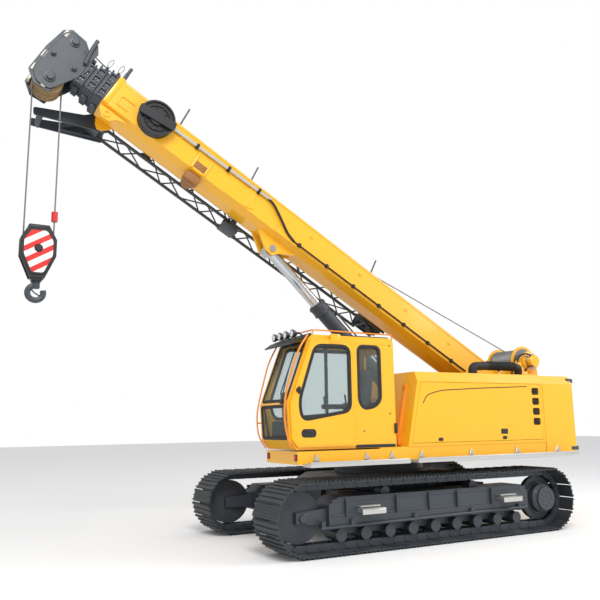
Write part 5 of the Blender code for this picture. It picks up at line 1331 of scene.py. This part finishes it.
for s in (-1, 1):
    rims.append(sweep(border + [0, s * 0.098, 0], [(-0.012, -0.010), (0.012, -0.010), (0.012, 0.010),
                                                   (-0.012, 0.010)], closed=True, up=(0, 1, 0)))
    rims.append(turned([(0.0, s * 0.125), (0.040, s * 0.125), (0.055, s * 0.112), (0.06, s * 0.095)],
                       (hx, 0, hz), "Y", 24))
rims.append(soft_box((hx - 0.15, -0.10, hz + 0.26), (hx + 0.15, 0.10, hz + 0.345), 0.03))
rims.append(soft_box((hx - 0.07, -0.085, hz - 0.47), (hx + 0.07, 0.085, hz - 0.36), 0.02))
block_trim = piece("hook_block_trim", join(*rims), BLACK, "hook_falls", "black_trim")
collar = [turned([(0.0, -0.06), (0.050, -0.06), (0.055, -0.04), (0.055, 0.03), (0.0, 0.03)],
                 (hx, 0, hz - 0.50), "Z", 20),
          tube([(hx + 0.075, 0, hz - 0.545), (hx + 0.02, 0, hz - 0.62), (hx - 0.06, 0, hz - 0.66)],
               0.010, 8)]
piece("hook_nut_and_latch", join(*collar), SLATE, "hook", "black_trim")

# %% [markdown]
# ## Lift cylinder
# The barrel carries two steel oil pipes on clamps and a gland with a wiper ring at its mouth.
# %% Pipes on the barrel
head_pin = np.array(joints["lift_rod_pivot"]["pos_m"])
slide = -np.array(joints["lift_barrel_slide"]["axis"])
foot_pin = head_pin - slide * 4.6038
over = np.cross(slide, ACROSS)


def on_barrel(along, across, above):
    """Point along the barrel from its foot, across it and above its axis."""
    return foot_pin + slide * along + ACROSS * across + over * above


pipes = [tube([on_barrel(0.35, s * 0.07, 0.12), on_barrel(0.40, s * 0.07, 0.155),
               on_barrel(3.05, s * 0.07, 0.155), on_barrel(3.10, s * 0.07, 0.12)], 0.014, 8, 0.03)
         for s in (-1, 1)]
clamps = [soft_box((-0.02, -0.10, -0.02), (0.02, 0.10, 0.02), 0.008)]
clamps = copies(clamps[0], [on_barrel(a, 0.0, 0.150) for a in (0.8, 1.6, 2.4, 3.0)])
gland_t = np.linspace(0, 2 * np.pi, 28, endpoint=False)
mouths = [sweep(np.array([on_barrel(a, r * math.cos(t), r * math.sin(t)) for t in gland_t]),
                circle(w, 6), closed=True, up=slide)
          for a, r, w in ((3.20, 0.150, 0.012), (3.34, 0.150, 0.012), (3.375, 0.105, 0.014))]
piece("lift_cylinder_pipes", join(*pipes, clamps, *mouths), SLATE, "lift_barrel", "slate_paint")

# %% [markdown]
# ## Sizes
# Both boxes, of the imported frame and of all that is shown now, are written to extents.json.
# %% Write both boxes
seen_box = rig.bounds()
sizes = {"cad": [list(map(float, corner)) for corner in cad_box],
         "visual": [list(map(float, corner)) for corner in seen_box]}
with open("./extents.json", "w") as out_file:
    json.dump(sizes, out_file)
print("cad", [[round(v, 3) for v in c] for c in sizes["cad"]])
print("visual", [[round(v, 3) for v in c] for c in sizes["visual"]])
